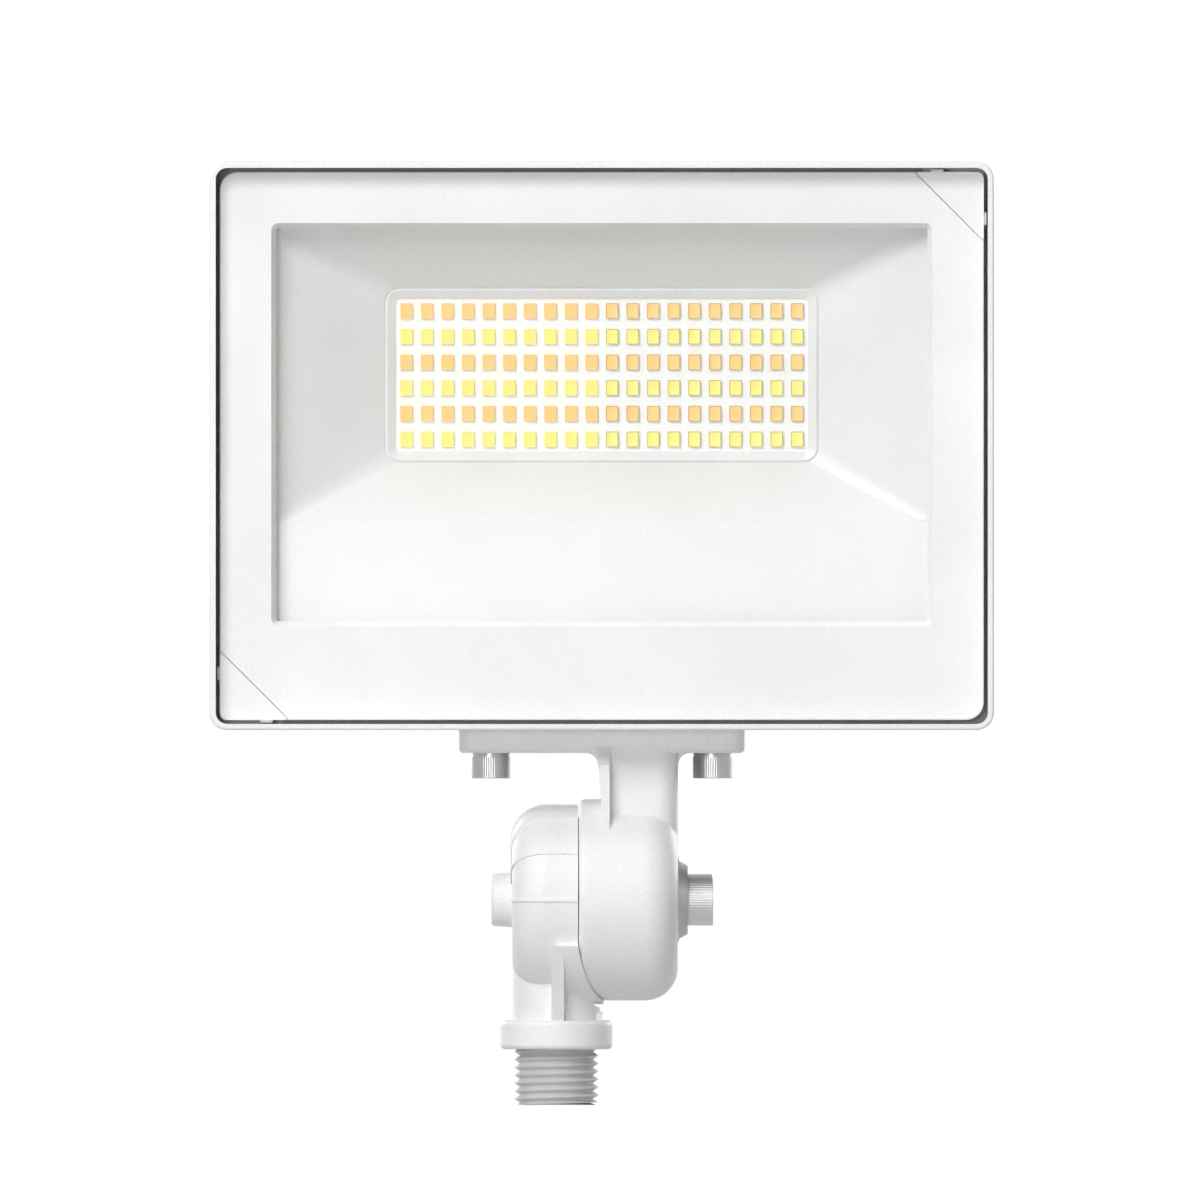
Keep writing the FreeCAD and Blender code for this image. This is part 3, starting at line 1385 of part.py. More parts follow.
    # Wiring cavity, stem bore, nipple seat, bolt hole and seal groove
    cavity = new_sketch(body, up=AXIS_UP)
    deep = f"({DISC_LEFT} + {size('knuckle_wall')})"
    draw_outline(
        cavity,
        [
            (SPLIT_LOWER, size("hub_radius")),
            (SPLIT_LOWER, LAND_INNER),
            (deep, LAND_INNER),
            (deep, size("hub_radius")),
        ],
    )
    groove(cavity)
    bore = new_sketch(body, "XY_Plane")
    draw_circle(bore, "0", "0", size("stem_bore"))
    pocket(bore, f"{AXIS_UP} - ({size('hub_radius')} + {LAND_INNER}) / 2", backwards=True)
    seat = new_sketch(body, "XY_Plane")
    draw_circle(seat, "0", "0", f"{size('spigot_radius')} + {size('spigot_clear')}")
    pocket(seat, size("spigot_length"), backwards=True)
    shoulder = new_sketch(body, "XY_Plane")
    draw_circle(shoulder, "0", "0", f"{size('thread_radius')} + {size('shoulder_clear')}")
    pocket(shoulder, size("shoulder_sink"), backwards=True)
    bolt_hole = new_sketch(body, "YZ_Plane", up=AXIS_UP, out=SPLIT_LOWER)
    draw_circle(bolt_hole, "0", "0", f"{size('bolt_radius')} + {size('bolt_clear')}")
    pocket(bolt_hole, f"{SPLIT_LOWER} - {BOLT_END} + {size('bolt_end_room')}")
    seal = new_sketch(body, "YZ_Plane", up=AXIS_UP, out=SPLIT_LOWER)
    draw_circle(seal, "0", "0", f"{size('pivot_seal_radius')} + {SEAL_WIDE}")
    draw_circle(seal, "0", "0", f"{size('pivot_seal_radius')} - {SEAL_WIDE}")
    pocket(seal, SEAL_DEEP)
    return body


def make_threaded_nipple():
    """Threaded stem end at its major radius, with a spigot pressed into the flange."""
    body = new_body("threaded_nipple")
    sketch = new_sketch(body)
    low = f"(0 - {size('thread_length')})"
    relief = f"({size('thread_radius')} - {size('relief_depth')})"
    draw_outline(
        sketch,
        [
            (size("nipple_bore"), low),
            (f"{size('thread_radius')} - {size('thread_chamfer')}", low),
            (size("thread_radius"), f"{low} + {size('thread_chamfer')}"),
            (size("thread_radius"), "0"),
            (relief, "0"),
            (relief, size("shoulder_sink")),
            (size("spigot_radius"), size("shoulder_sink")),
            (size("spigot_radius"), size("spigot_length")),
            (size("nipple_bore"), size("spigot_length")),
        ],
    )
    revolve(sketch, "V_Axis")
    return body


def make_clamp_bolt():
    """Socket head cap screw along the tilt axis."""
    body = new_body("clamp_bolt")
    bolt = new_sketch(body, across=HEAD_SEAT, up=AXIS_UP)
    draw_outline(
        bolt,
        [
            (f"0 - {size('bolt_length')}", "0"),
            (size("bolt_head"), "0"),
            (size("bolt_head"), size("bolt_head_radius"), size("bolt_head_round")),
            ("0", size("bolt_head_radius")),
            ("0", size("bolt_radius")),
            (f"0 - {size('bolt_length')}", size("bolt_radius")),
        ],
    )
    revolve(bolt)
    key = new_sketch(body, "YZ_Plane", up=AXIS_UP, out=f"{HEAD_SEAT} + {size('bolt_head')}")
    draw_hexagon(key, size("bolt_key"))
    pocket(key, size("bolt_key_depth"))
    return body


def make_clamp_washer():
    """Conical cup washer that the bolt's head sits in."""
    body = new_body("clamp_washer")
    washer = new_sketch(body, across=SPOT_FACE, up=AXIS_UP)
    hole = f"{size('bolt_radius')} + {size('through_clear')}"
    cup = f"{size('bolt_head_radius')} + {size('washer_head_clear')}"
    draw_outline(
        washer,
        [
            ("0", hole),
            ("0", size("washer_inner_face")),
            (size("washer_thick"), size("washer_outer_face")),
            (size("washer_thick"), cup),
            (size("washer_floor"), cup),
            (size("washer_floor"), hole),
        ],
    )
    revolve(washer)
    return body


def make_all():
    """Return every sub-part of the flood light."""
    plate_ring = (NECK_ACROSS, "0", f"{PLATE_TOP} - {size('seal_section')}")
    pivot_ring = (f"{SPLIT_LOWER} - {SEAL_DEEP} + {size('seal_section')}", "0", AXIS_UP)
    return [
        make_rear_housing(),
        make_front_frame(),
        make_frame_gasket(),
        make_corner_cap("corner_cap_upper", right=True),
        make_corner_cap("corner_cap_lower", right=False),
        make_frame_screws(),
        make_lens_pane(),
        make_lens_seal(),
        make_reflector(),
        make_led_board(),
        make_leds("warm_leds", 0),
        make_leds("cool_leds", 1),
        make_thermal_pad(),
        make_board_screws(),
        make_driver_module(),
        make_driver_screws(),
        make_board_leads(),
        make_wire_grommet(),
        make_knuckle_upper(),
        make_ring("plate_seal", size("plate_seal_radius"), plate_ring, upright=False),
        make_plate_screws(),
        make_plate_spring_washers(),
        make_knuckle_lower(),
        make_threaded_nipple(),
        make_ring("pivot_seal", size("pivot_seal_radius"), pivot_ring, upright=True),
        make_clamp_bolt(),
        make_clamp_washer(),
    ]


def write_parts(parts):
    """Check every object, then write each sub-part's shape under its label."""
    doc.recompute()
    failed = [item.Label for item in doc.Objects if {"Invalid", "Error"} & set(item.State)]
    if failed:
        raise RuntimeError(f"objects that failed: {failed}")
    for part in parts:
        if part.Shape.isNull() or not part.Shape.isValid() or not part.Shape.Solids:
            raise RuntimeError(f"{part.Label} has no valid shape")
    os.makedirs("parts", exist_ok=True)
    for part in parts:
        part.Shape.exportStep(os.path.join("parts", f"{part.Label}.step"))
        print(f"{part.Label}: {len(part.Shape.Solids)} solids, {part.Shape.Volume / 1000:.2f} cm3")


write_parts(make_all())
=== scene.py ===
"""Looks of a swivel-mounted flood light: finishes of its solids and fine pieces over them."""

import logging
import math
from collections.abc import Callable, Iterator
from contextlib import contextmanager
from dataclasses import dataclass
from enum import Enum
from typing import Any

import bmesh
import bpy
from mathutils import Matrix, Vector


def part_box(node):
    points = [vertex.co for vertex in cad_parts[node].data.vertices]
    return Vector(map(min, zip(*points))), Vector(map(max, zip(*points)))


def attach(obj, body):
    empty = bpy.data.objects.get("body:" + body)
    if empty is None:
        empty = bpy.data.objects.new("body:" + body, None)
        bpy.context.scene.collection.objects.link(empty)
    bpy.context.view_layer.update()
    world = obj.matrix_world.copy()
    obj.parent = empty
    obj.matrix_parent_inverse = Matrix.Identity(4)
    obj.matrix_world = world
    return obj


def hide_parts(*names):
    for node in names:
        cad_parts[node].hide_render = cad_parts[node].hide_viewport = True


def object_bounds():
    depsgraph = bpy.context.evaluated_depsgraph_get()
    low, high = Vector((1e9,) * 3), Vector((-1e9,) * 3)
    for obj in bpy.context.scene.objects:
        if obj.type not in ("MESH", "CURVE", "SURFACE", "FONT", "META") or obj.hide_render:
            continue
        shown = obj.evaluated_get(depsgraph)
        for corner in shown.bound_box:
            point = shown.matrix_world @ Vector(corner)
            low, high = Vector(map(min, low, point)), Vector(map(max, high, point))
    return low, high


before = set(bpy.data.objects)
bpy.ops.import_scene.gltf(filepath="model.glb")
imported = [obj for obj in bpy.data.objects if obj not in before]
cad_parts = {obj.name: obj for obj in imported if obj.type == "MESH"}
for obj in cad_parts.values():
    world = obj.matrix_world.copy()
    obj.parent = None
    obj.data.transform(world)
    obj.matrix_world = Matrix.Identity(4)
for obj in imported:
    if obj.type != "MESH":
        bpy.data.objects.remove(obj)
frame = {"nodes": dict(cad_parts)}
CAD_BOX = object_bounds()

MM = 0.001
# Corners this near to a plane lie in it, and faces this square to an axis face along it
NEAR = 0.01 * MM
SQUARE = 0.9
# Corners this near to each other are merged
SEAM = 0.002 * MM
# How many finer layers a fine grain has
FINE = 3.0
LOG = logging.getLogger("flood_light")

Colour = tuple[float, float, float]
Point = tuple[float, float, float]
Socket = bpy.types.NodeSocket


class Pick(Enum):
    """What a selection in edit mode is made of."""

    CORNER = "VERT"
    EDGE = "EDGE"
    FACE = "FACE"


class Carve(Enum):
    """How one shape is combined with another."""

    ADD = "UNION"
    CUT = "DIFFERENCE"
    KEEP = "INTERSECT"


class Body(Enum):
    """The three bodies that pieces ride on."""

    BASE = "knuckle_base"
    HEAD = "lamp_head"
    CLAMP = "clamp"


class Bench:
    """Hand-modelling steps that every new piece uses."""

    @staticmethod
    def put_down() -> None:
        """Leave edit mode and deselect everything."""
        active = bpy.context.view_layer.objects.active
        if active is not None and active.mode != "OBJECT":
            bpy.ops.object.mode_set(mode="OBJECT")
        bpy.ops.object.select_all(action="DESELECT")

    @staticmethod
    def take(piece: bpy.types.Object) -> None:
        """Make a piece the only selected and the active object.

        Args:
            piece: The object to work on.
        """
        Bench.put_down()
        piece.select_set(True)
        bpy.context.view_layer.objects.active = piece

    @staticmethod
    @contextmanager
    def editing(piece: bpy.types.Object, pick: Pick) -> Iterator[None]:
        """Hold a piece in edit mode with nothing selected.

        Args:
            piece: The object to edit.
            pick: What selections are made of.
        """
        Bench.take(piece)
        bpy.ops.object.mode_set(mode="EDIT")
        bpy.ops.mesh.select_mode(type=pick.value)
        bpy.ops.mesh.select_all(action="DESELECT")
        yield
        bpy.ops.object.mode_set(mode="OBJECT")

    @staticmethod
    def select(piece: bpy.types.Object, pick: Pick, wanted: Callable[[Any], bool]) -> None:
        """Select the corners, edges or faces of the edited piece that a test picks.

        Args:
            piece: The object in edit mode.
            pick: What the test is given.
            wanted: Tells whether an item is selected.
        """
        bpy.ops.mesh.select_all(action="DESELECT")
        mesh = bmesh.from_edit_mesh(piece.data)
        items = {Pick.CORNER: mesh.verts, Pick.EDGE: mesh.edges, Pick.FACE: mesh.faces}[pick]
        for item in items:
            if wanted(item):
                item.select_set(True)
        mesh.select_flush_mode()
        bmesh.update_edit_mesh(piece.data)

    @staticmethod
    def drum(name: str, radius: float, low: float, high: float, sides: int) -> bpy.types.Object:
        """Add an upright cylinder about the origin's axis.

        Args:
            name: The object's name.
            radius: Its radius.
            low: The height of its foot.
            high: The height of its top.
            sides: How many sides it has.

        Returns:
            The new object.
        """
        Bench.put_down()
        bpy.ops.mesh.primitive_cylinder_add(
            vertices=sides, radius=radius, depth=high - low, location=(0.0, 0.0, (low + high) / 2)
        )
        piece = bpy.context.object
        piece.name = name
        bpy.ops.object.transform_apply(location=True, rotation=True, scale=True)
        return piece

    @staticmethod
    def carve(piece: bpy.types.Object, tool: bpy.types.Object, how: Carve) -> None:
        """Combine a piece with a closed shape, which is used up.

        Args:
            piece: The object that stays.
            tool: The object that is used up.
            how: Whether the tool is added, cut away or bounds what is kept.
        """
        modifier = piece.modifiers.new("carve", "BOOLEAN")
        modifier.operation = how.value
        modifier.solver = "EXACT"
        modifier.object = tool
        Bench.take(piece)
        bpy.ops.object.modifier_apply(modifier=modifier.name)
        bpy.data.objects.remove(tool)

    @staticmethod
    def repeat(piece: bpy.types.Object, count: int, step: Point) -> None:
        """Repeat a piece along a step, within its own mesh.

        Args:
            piece: The object to repeat.
            count: How many there are in the end.
            step: From one to the next.
        """
        modifier = piece.modifiers.new("repeat", "ARRAY")
        modifier.count = count
        modifier.use_relative_offset = False
        modifier.use_constant_offset = True
        modifier.constant_offset_displace = step
        Bench.take(piece)
        bpy.ops.object.modifier_apply(modifier=modifier.name)

    @staticmethod
    def copy(piece: bpy.types.Object, move: Point) -> bpy.types.Object:
        """Copy a piece with its own mesh.

        Args:
            piece: The object to copy.
            move: From the piece to the copy.

        Returns:
            The copy.
        """
        Bench.take(piece)
        bpy.ops.object.duplicate(linked=False)
        twin = bpy.context.object
        twin.location = move
        bpy.ops.object.transform_apply(location=True, rotation=True, scale=True)
        return twin

    @staticmethod
    def gather(pieces: list[bpy.types.Object], name: str) -> bpy.types.Object:
        """Join pieces into the first of them.

        Args:
            pieces: The objects to join.
            name: The name of the result.

        Returns:
            The joined object.
        """
        Bench.take(pieces[0])
        for piece in pieces[1:]:
            piece.select_set(True)
        if len(pieces) > 1:
            bpy.ops.object.join()
        joined = bpy.context.object
        joined.name = name
        joined.data.name = name
        return joined

    @staticmethod
    def settle(piece: bpy.types.Object, smooth_deg: float) -> None:
        """Put a piece's place into its mesh, merge doubled corners and smooth gentle edges.

        Args:
            piece: The object to finish.
            smooth_deg: Edges that bend by less than this are shaded smooth.
        """
        Bench.take(piece)
        bpy.ops.object.transform_apply(location=True, rotation=True, scale=True)
        with Bench.editing(piece, Pick.CORNER):
            bpy.ops.mesh.select_all(action="SELECT")
            bpy.ops.mesh.remove_doubles(threshold=SEAM)
            bpy.ops.mesh.normals_make_consistent(inside=False)
        Bench.take(piece)
        bpy.ops.object.shade_smooth_by_angle(angle=math.radians(smooth_deg))

    @staticmethod
    def hand_over(piece: bpy.types.Object, body: Body, slot: str, nodes: tuple[str, ...]) -> None:
        """Let a finished piece ride on its body in place of solids.

        Args:
            piece: The finished object.
            body: What it moves with.
            slot: Not used.
            nodes: The solids that it stands for.
        """
        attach(piece, body.value)
        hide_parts(*nodes)
        LOG.info("%s: %d faces, for %s", piece.name, len(piece.data.polygons), ", ".join(nodes))


class Recipe:
    """A material's node tree, built a step at a time."""

    def __init__(self, name: str) -> None:
        """Start a material with a plain shader.

        Args:
            name: The material's name.
        """
        self.material = bpy.data.materials.new(name)
        self.material.use_nodes = True
        self.tree = self.material.node_tree
        self.shader = self.tree.nodes["Principled BSDF"]
        self.output = self.tree.nodes["Material Output"]
        self.place = self.add("ShaderNodeTexCoord").outputs["Object"]

    def add(self, kind: str, **settings: Any) -> bpy.types.Node:
        """Add a node.

        Args:
            kind: The node's type.
            settings: Properties to set on it.

        Returns:
            The new node.
        """
        node = self.tree.nodes.new(kind)
        for name, value in settings.items():
            setattr(node, name, value)
        return node

    def link(self, source: Socket, target: Socket) -> None:
        """Join an output to an input."""
        self.tree.links.new(source, target)

    def noise(self, grain: float, detail: float = 2.0, stretch: Point = (1.0, 1.0, 1.0)) -> Socket:
        """Add cloudy noise on the object's coordinates.

        Args:
            grain: The size of its spots in metres.
            detail: How many finer layers it has.
            stretch: How much finer it is along each axis.

        Returns:
            Its value, from 0 to 1.
        """
        mapping = self.add("ShaderNodeMapping")
        mapping.inputs["Scale"].default_value = stretch
        self.link(self.place, mapping.inputs["Vector"])
        texture = self.add("ShaderNodeTexNoise")
        texture.inputs["Scale"].default_value = 1.0 / grain
        texture.inputs["Detail"].default_value = detail
        self.link(mapping.outputs["Vector"], texture.inputs["Vector"])
        return texture.outputs["Fac"]

    def spread(
        self, value: Socket, low: float, high: float, start: float = 0.3, end: float = 0.7
    ) -> Socket:
        """Stretch a value over a new range.

        Args:
            value: The value to stretch.
            low: The result at the start.
            high: The result at the end.
            start: Where the old range starts.
            end: Where the old range ends.

        Returns:
            The new value.
        """
        node = self.add("ShaderNodeMapRange")
        limits = {"From Min": start, "From Max": end, "To Min": low, "To Max": high}
        for name, number in limits.items():
            node.inputs[name].default_value = number
        self.link(value, node.inputs["Value"])
        return node.outputs["Result"]

    def below(self, height: float, blur: float = 0.05 * MM) -> Socket:
        """Tell what lies below a height on the object.

        Args:
            height: The height in metres.
            blur: How far below it the change starts.

        Returns:
            1 below it and 0 above.
        """
        parts = self.add("ShaderNodeSeparateXYZ")
        self.link(self.place, parts.inputs["Vector"])
        return self.spread(parts.outputs["Z"], 1.0, 0.0, height - blur, height)

    def tint(self, value: Socket, low: Colour, high: Colour) -> Socket:
        """Turn a value into a colour between two.

        Args:
            value: From 0 to 1.
            low: The colour at 0.
            high: The colour at 1.

        Returns:
            The colour.
        """
        node = self.add("ShaderNodeMix", data_type="RGBA")
        colours = [socket for socket in node.inputs if socket.type == "RGBA"]
        colours[0].default_value = (*low, 1.0)
        colours[1].default_value = (*high, 1.0)
        self.link(value, node.inputs["Factor"])
        return next(socket for socket in node.outputs if socket.type == "RGBA")

    def sum(self, values: list[tuple[Socket, float]]) -> Socket:
        """Add values up, each with its share.

        Args:
            values: Values and their shares.

        Returns:
            The sum.
        """
        total: Socket | None = None
        for value, share in values:
            node = self.add("ShaderNodeMath", operation="MULTIPLY_ADD")
            node.inputs[1].default_value = share
            node.inputs[2].default_value = 0.0
            self.link(value, node.inputs[0])
            if total is not None:
                self.link(total, node.inputs[2])
            total = node.outputs[0]
        return total

    def relief(self, height: Socket, depth: float, strength: float) -> None:
        """Give the shader a bumpy surface.

        Args:
            height: The surface's height, from 0 to 1.
            depth: What a height of 1 is in metres.
            strength: How much of it shows.
        """
        bump = self.add("ShaderNodeBump")
        bump.inputs["Strength"].default_value = strength
        bump.inputs["Distance"].default_value = depth
        self.link(height, bump.inputs["Height"])
        self.link(bump.outputs["Normal"], self.shader.inputs["Normal"])


@dataclass(frozen=True)
class GrainedFinish:
    """Paint, plastic or rubber with a fine grain, faint clouds and an uneven gloss.

    Attributes:
        name: The material's name.
        light: Its palest colour.
        dark: Its darkest colour.
        grain: The size of its grain.
        cloud: The size of its clouds.
        depth: How deep the grain is.
        gloss: Its lowest and highest roughness.
        bump: How much of the grain's depth shows.
        painted_light_top: The height below which it is painted paler, if it has one. This is
            painted light that stands in for the brighter light on a flat panel facing the lamps.
        painted_light_share: How much of the tone comes from that painted light below the height.
        grain_share: How much of the tone comes from the grain, and the rest from the clouds.
        tones: The values of grain and clouds that are darkest and palest.
    """

    name: str
    light: Colour
    dark: Colour
    grain: float
    cloud: float
    depth: float
    gloss: tuple[float, float]
    bump: float = 0.35
    painted_light_top: float | None = None
    painted_light_share: float = 0.5
    grain_share: float = 0.65
    tones: tuple[float, float] = (0.38, 0.62)

    def material(self) -> bpy.types.Material:
        """Build the finish's node tree.

        Returns:
            The finish as a material.
        """
        recipe = Recipe(self.name)
        fine = recipe.noise(self.grain, detail=FINE)
        broad = recipe.noise(self.cloud)
        mixed = recipe.sum([(fine, self.grain_share), (broad, 1.0 - self.grain_share)])
        tone = recipe.spread(mixed, 0.0, 1.0, *self.tones)
        # Painted light: below the given height the tone is pushed paler, in place of the brighter
        # light that falls on a flat panel facing the lamps.
        if self.painted_light_top is not None:
            painted_light_mask = recipe.below(self.painted_light_top)
            tone = recipe.sum([(tone, 1.0 - self.painted_light_share), (painted_light_mask, self.painted_light_share)])
        colour = recipe.tint(tone, self.dark, self.light)
        recipe.link(colour, recipe.shader.inputs["Base Color"])
        recipe.link(recipe.spread(mixed, *self.gloss), recipe.shader.inputs["Roughness"])
        recipe.relief(fine, self.depth, self.bump)
        return recipe.material


@dataclass(frozen=True)
class TurnedMetal:
    """Bare metal with fine tool marks along one direction.

    Attributes:
        name: The material's name.
        light: Its palest colour.
        dark: Its darkest colour.
        mark: The width of its tool marks.
        stretch: How much finer the marks are along each axis.
        gloss: Its lowest and highest roughness.
        stain: How many times wider than a mark its stains are.
        mark_share: How much of the tone comes from the marks, and the rest from the stains.
        depth: How deep the marks are.
        bump: How much of their depth shows.
    """

    name: str
    light: Colour
    dark: Colour
    mark: float
    stretch: Point
    gloss: tuple[float, float]
    stain: float = 20.0
    mark_share: float = 0.6
    depth: float = 0.01 * MM
    bump: float = 0.25

    def material(self) -> bpy.types.Material:
        """Build the finish's node tree.

        Returns:
            The finish as a material.
        """
        recipe = Recipe(self.name)
        marks = recipe.noise(self.mark, detail=FINE, stretch=self.stretch)
        stains = recipe.noise(self.stain * self.mark)
        mixed = recipe.sum([(marks, self.mark_share), (stains, 1.0 - self.mark_share)])
        colour = recipe.tint(recipe.spread(mixed, 0.0, 1.0), self.dark, self.light)
        recipe.link(colour, recipe.shader.inputs["Base Color"])
        recipe.link(recipe.spread(mixed, *self.gloss), recipe.shader.inputs["Roughness"])
        recipe.shader.inputs["Metallic"].default_value = 1.0
        recipe.relief(marks, self.depth, self.bump)
        return recipe.material


@dataclass(frozen=True)
class ClearPane:
    """Clear glass that lets lamps through to what is behind it.

    Attributes:
        name: The material's name.
        colour: Its tint.
        roughness: The highest roughness of its smears.
        index: How strongly it bends light.
        smear: The size of its smears.
    """

    name: str
    colour: Colour
    roughness: float
    index: float
    smear: float = 14 * MM

    def material(self) -> bpy.types.Material:
        """Build the finish's node tree.

        Returns:
            The finish as a material.
        """
        recipe = Recipe(self.name)
        shader = recipe.shader
        shader.inputs["Base Color"].default_value = (*self.colour, 1.0)
        shader.inputs["IOR"].default_value = self.index
        shader.inputs["Transmission Weight"].default_value = 1.0
        smears = recipe.noise(self.smear, detail=FINE)
        recipe.link(recipe.spread(smears, 0.0, self.roughness), shader.inputs["Roughness"])
        open_air = recipe.add("ShaderNodeBsdfTransparent")
        rays = recipe.add("ShaderNodeLightPath")
        surface = shader.outputs["BSDF"]
        for kind in ("Is Shadow Ray", "Is Diffuse Ray"):
            mix = recipe.add("ShaderNodeMixShader")
            recipe.link(rays.outputs[kind], mix.inputs["Fac"])
            recipe.link(surface, mix.inputs[1])
            recipe.link(open_air.outputs["BSDF"], mix.inputs[2])
            surface = mix.outputs["Shader"]
        recipe.link(surface, recipe.output.inputs["Surface"])
        return recipe.material


Finish = GrainedFinish | TurnedMetal | ClearPane

POWDER_COAT = GrainedFinish(
    name="powder_coat",
    light=(0.93, 0.93, 0.925),
    dark=(0.825, 0.825, 0.82),
    grain=0.36 * MM,
    cloud=30 * MM,
    depth=0.05 * MM,
    gloss=(0.40, 0.52),
    bump=0.65,
)
THREAD_COAT = GrainedFinish(
    name="thread_coat",
    light=(0.70, 0.70, 0.695),
    dark=(0.60, 0.60, 0.595),
    grain=0.35 * MM,
    cloud=6 * MM,
    depth=0.03 * MM,
    gloss=(0.32, 0.46),
)
CAP_PLASTIC = GrainedFinish(
    name="cap_plastic",
    light=(0.91, 0.91, 0.905),
    dark=(0.85, 0.85, 0.845),
    grain=0.5 * MM,
    cloud=25 * MM,
    depth=0.03 * MM,
    gloss=(0.42, 0.55),
)
GASKET_SILICONE = GrainedFinish(
    name="gasket_silicone",
    light=(0.46, 0.46, 0.463),
    dark=(0.36, 0.36, 0.362),
    grain=0.5 * MM,
    cloud=12 * MM,
    depth=0.04 * MM,
    gloss=(0.55, 0.75),
)
PANE_SILICONE = GrainedFinish(
    name="pane_silicone",
    light=(0.72, 0.72, 0.70),
    dark=(0.64, 0.64, 0.62),
    grain=0.6 * MM,
    cloud=12 * MM,
    depth=0.03 * MM,
    gloss=(0.5, 0.7),
)
REFLECTOR_PLASTIC = GrainedFinish(
    name="reflector_plastic",
    light=(0.92, 0.92, 0.915),
    dark=(0.75, 0.75, 0.745),
    grain=0.34 * MM,
    cloud=35 * MM,
    depth=0.05 * MM,
    gloss=(0.35, 0.48),
    bump=0.65,
    # Painted light: paler below this height, on the flat lower panel, in place of the brighter
    # light that falls on it.
    painted_light_top=132.15 * MM,
)
BOARD_MASK = GrainedFinish(
    name="board_mask",
    light=(0.96, 0.96, 0.96),
    dark=(0.94, 0.94, 0.94),
    grain=0.8 * MM,
    cloud=18 * MM,
    depth=0.01 * MM,
    gloss=(0.35, 0.5),
)
WARM_PHOSPHOR = GrainedFinish(
    name="warm_phosphor",
    light=(0.99, 0.615, 0.175),
    dark=(0.97, 0.59, 0.16),
    grain=0.3 * MM,
    cloud=3 * MM,
    depth=0.02 * MM,
    gloss=(0.35, 0.5),
)
COOL_PHOSPHOR = GrainedFinish(
    name="cool_phosphor",
    light=(0.99, 0.86, 0.195),
    dark=(0.98, 0.84, 0.18),
    grain=0.3 * MM,
    cloud=3 * MM,
    depth=0.02 * MM,
    gloss=(0.35, 0.5),
)
WARM_EDGE = GrainedFinish(
    name="warm_edge",
    light=(0.62, 0.40, 0.16),
    dark=(0.52, 0.33, 0.13),
    grain=0.3 * MM,
    cloud=3 * MM,
    depth=0.02 * MM,
    gloss=(0.4, 0.55),
)
COOL_EDGE = GrainedFinish(
    name="cool_edge",
    light=(0.58, 0.52, 0.17),
    dark=(0.48, 0.43, 0.14),
    grain=0.3 * MM,
    cloud=3 * MM,
    depth=0.02 * MM,
    gloss=(0.4, 0.55),
)
PAD_COMPOUND = GrainedFinish(
    name="pad_compound",
    light=(0.20, 0.21, 0.23),
    dark=(0.15, 0.155, 0.17),
    grain=0.6 * MM,
    cloud=10 * MM,
    depth=0.05 * MM,
    gloss=(0.6, 0.8),
)
DRIVER_RESIN = GrainedFinish(
    name="driver_resin",
    light=(0.03, 0.03, 0.033),
    dark=(0.012, 0.012, 0.013),
    grain=0.8 * MM,
    cloud=15 * MM,
    depth=0.06 * MM,
    gloss=(0.35, 0.6),
)
LEAD_JACKET = GrainedFinish(
    name="lead_jacket",
    light=(0.72, 0.72, 0.70),
    dark=(0.66, 0.66, 0.64),
    grain=0.5 * MM,
    cloud=8 * MM,
    depth=0.02 * MM,
    gloss=(0.35, 0.5),
)
SEAL_RUBBER = GrainedFinish(
    name="seal_rubber",
    light=(0.02, 0.02, 0.02),
    dark=(0.008, 0.008, 0.008),
    grain=0.4 * MM,
    cloud=6 * MM,
    depth=0.03 * MM,
    gloss=(0.5, 0.7),
)
SCREW_STEEL = TurnedMetal(
    name="screw_steel",
    light=(0.46, 0.46, 0.465),
    dark=(0.37, 0.37, 0.375),
    mark=0.12 * MM,
    stretch=(1.0, 1.0, 0.15),
    gloss=(0.28, 0.35),
)
BOLT_STEEL = TurnedMetal(
    name="bolt_steel",
    light=(0.53, 0.53, 0.535),
    dark=(0.43, 0.43, 0.435),
    mark=0.12 * MM,
    stretch=(0.15, 1.0, 1.0),
    gloss=(0.32, 0.39),
)
WASHER_STEEL = TurnedMetal(
    name="washer_steel",
    light=(0.40, 0.40, 0.405),
    dark=(0.30, 0.30, 0.305),
    mark=0.15 * MM,
    stretch=(1.0, 0.4, 0.4),
    gloss=(0.38, 0.52),
)
PANE_GLASS = ClearPane(name="pane_glass", colour=(0.985, 0.995, 0.99), roughness=0.03, index=1.48)

# The finish of each solid that stays as it is
SOLID_FINISHES = {
    "rear_housing": POWDER_COAT,
    "front_frame": POWDER_COAT,
    "knuckle_upper": POWDER_COAT,
    "knuckle_lower": POWDER_COAT,
    "threaded_nipple": THREAD_COAT,
    "corner_cap_upper": CAP_PLASTIC,
    "corner_cap_lower": CAP_PLASTIC,
    "frame_gasket": GASKET_SILICONE,
    "lens_pane": PANE_GLASS,
    "lens_seal": PANE_SILICONE,
    "reflector": REFLECTOR_PLASTIC,
    "led_board": BOARD_MASK,
    "warm_leds": WARM_PHOSPHOR,
    "cool_leds": COOL_PHOSPHOR,
    "thermal_pad": PAD_COMPOUND,
    "driver_module": DRIVER_RESIN,
    "board_leads": LEAD_JACKET,
    "wire_grommet": SEAL_RUBBER,
    "plate_seal": SEAL_RUBBER,
    "pivot_seal": SEAL_RUBBER,
    "frame_screws": SCREW_STEEL,
    "board_screws": SCREW_STEEL,
    "driver_screws": SCREW_STEEL,
    "plate_screws": SCREW_STEEL,
    "plate_spring_washers": SCREW_STEEL,
    "clamp_bolt": BOLT_STEEL,
    "clamp_washer": WASHER_STEEL,
}


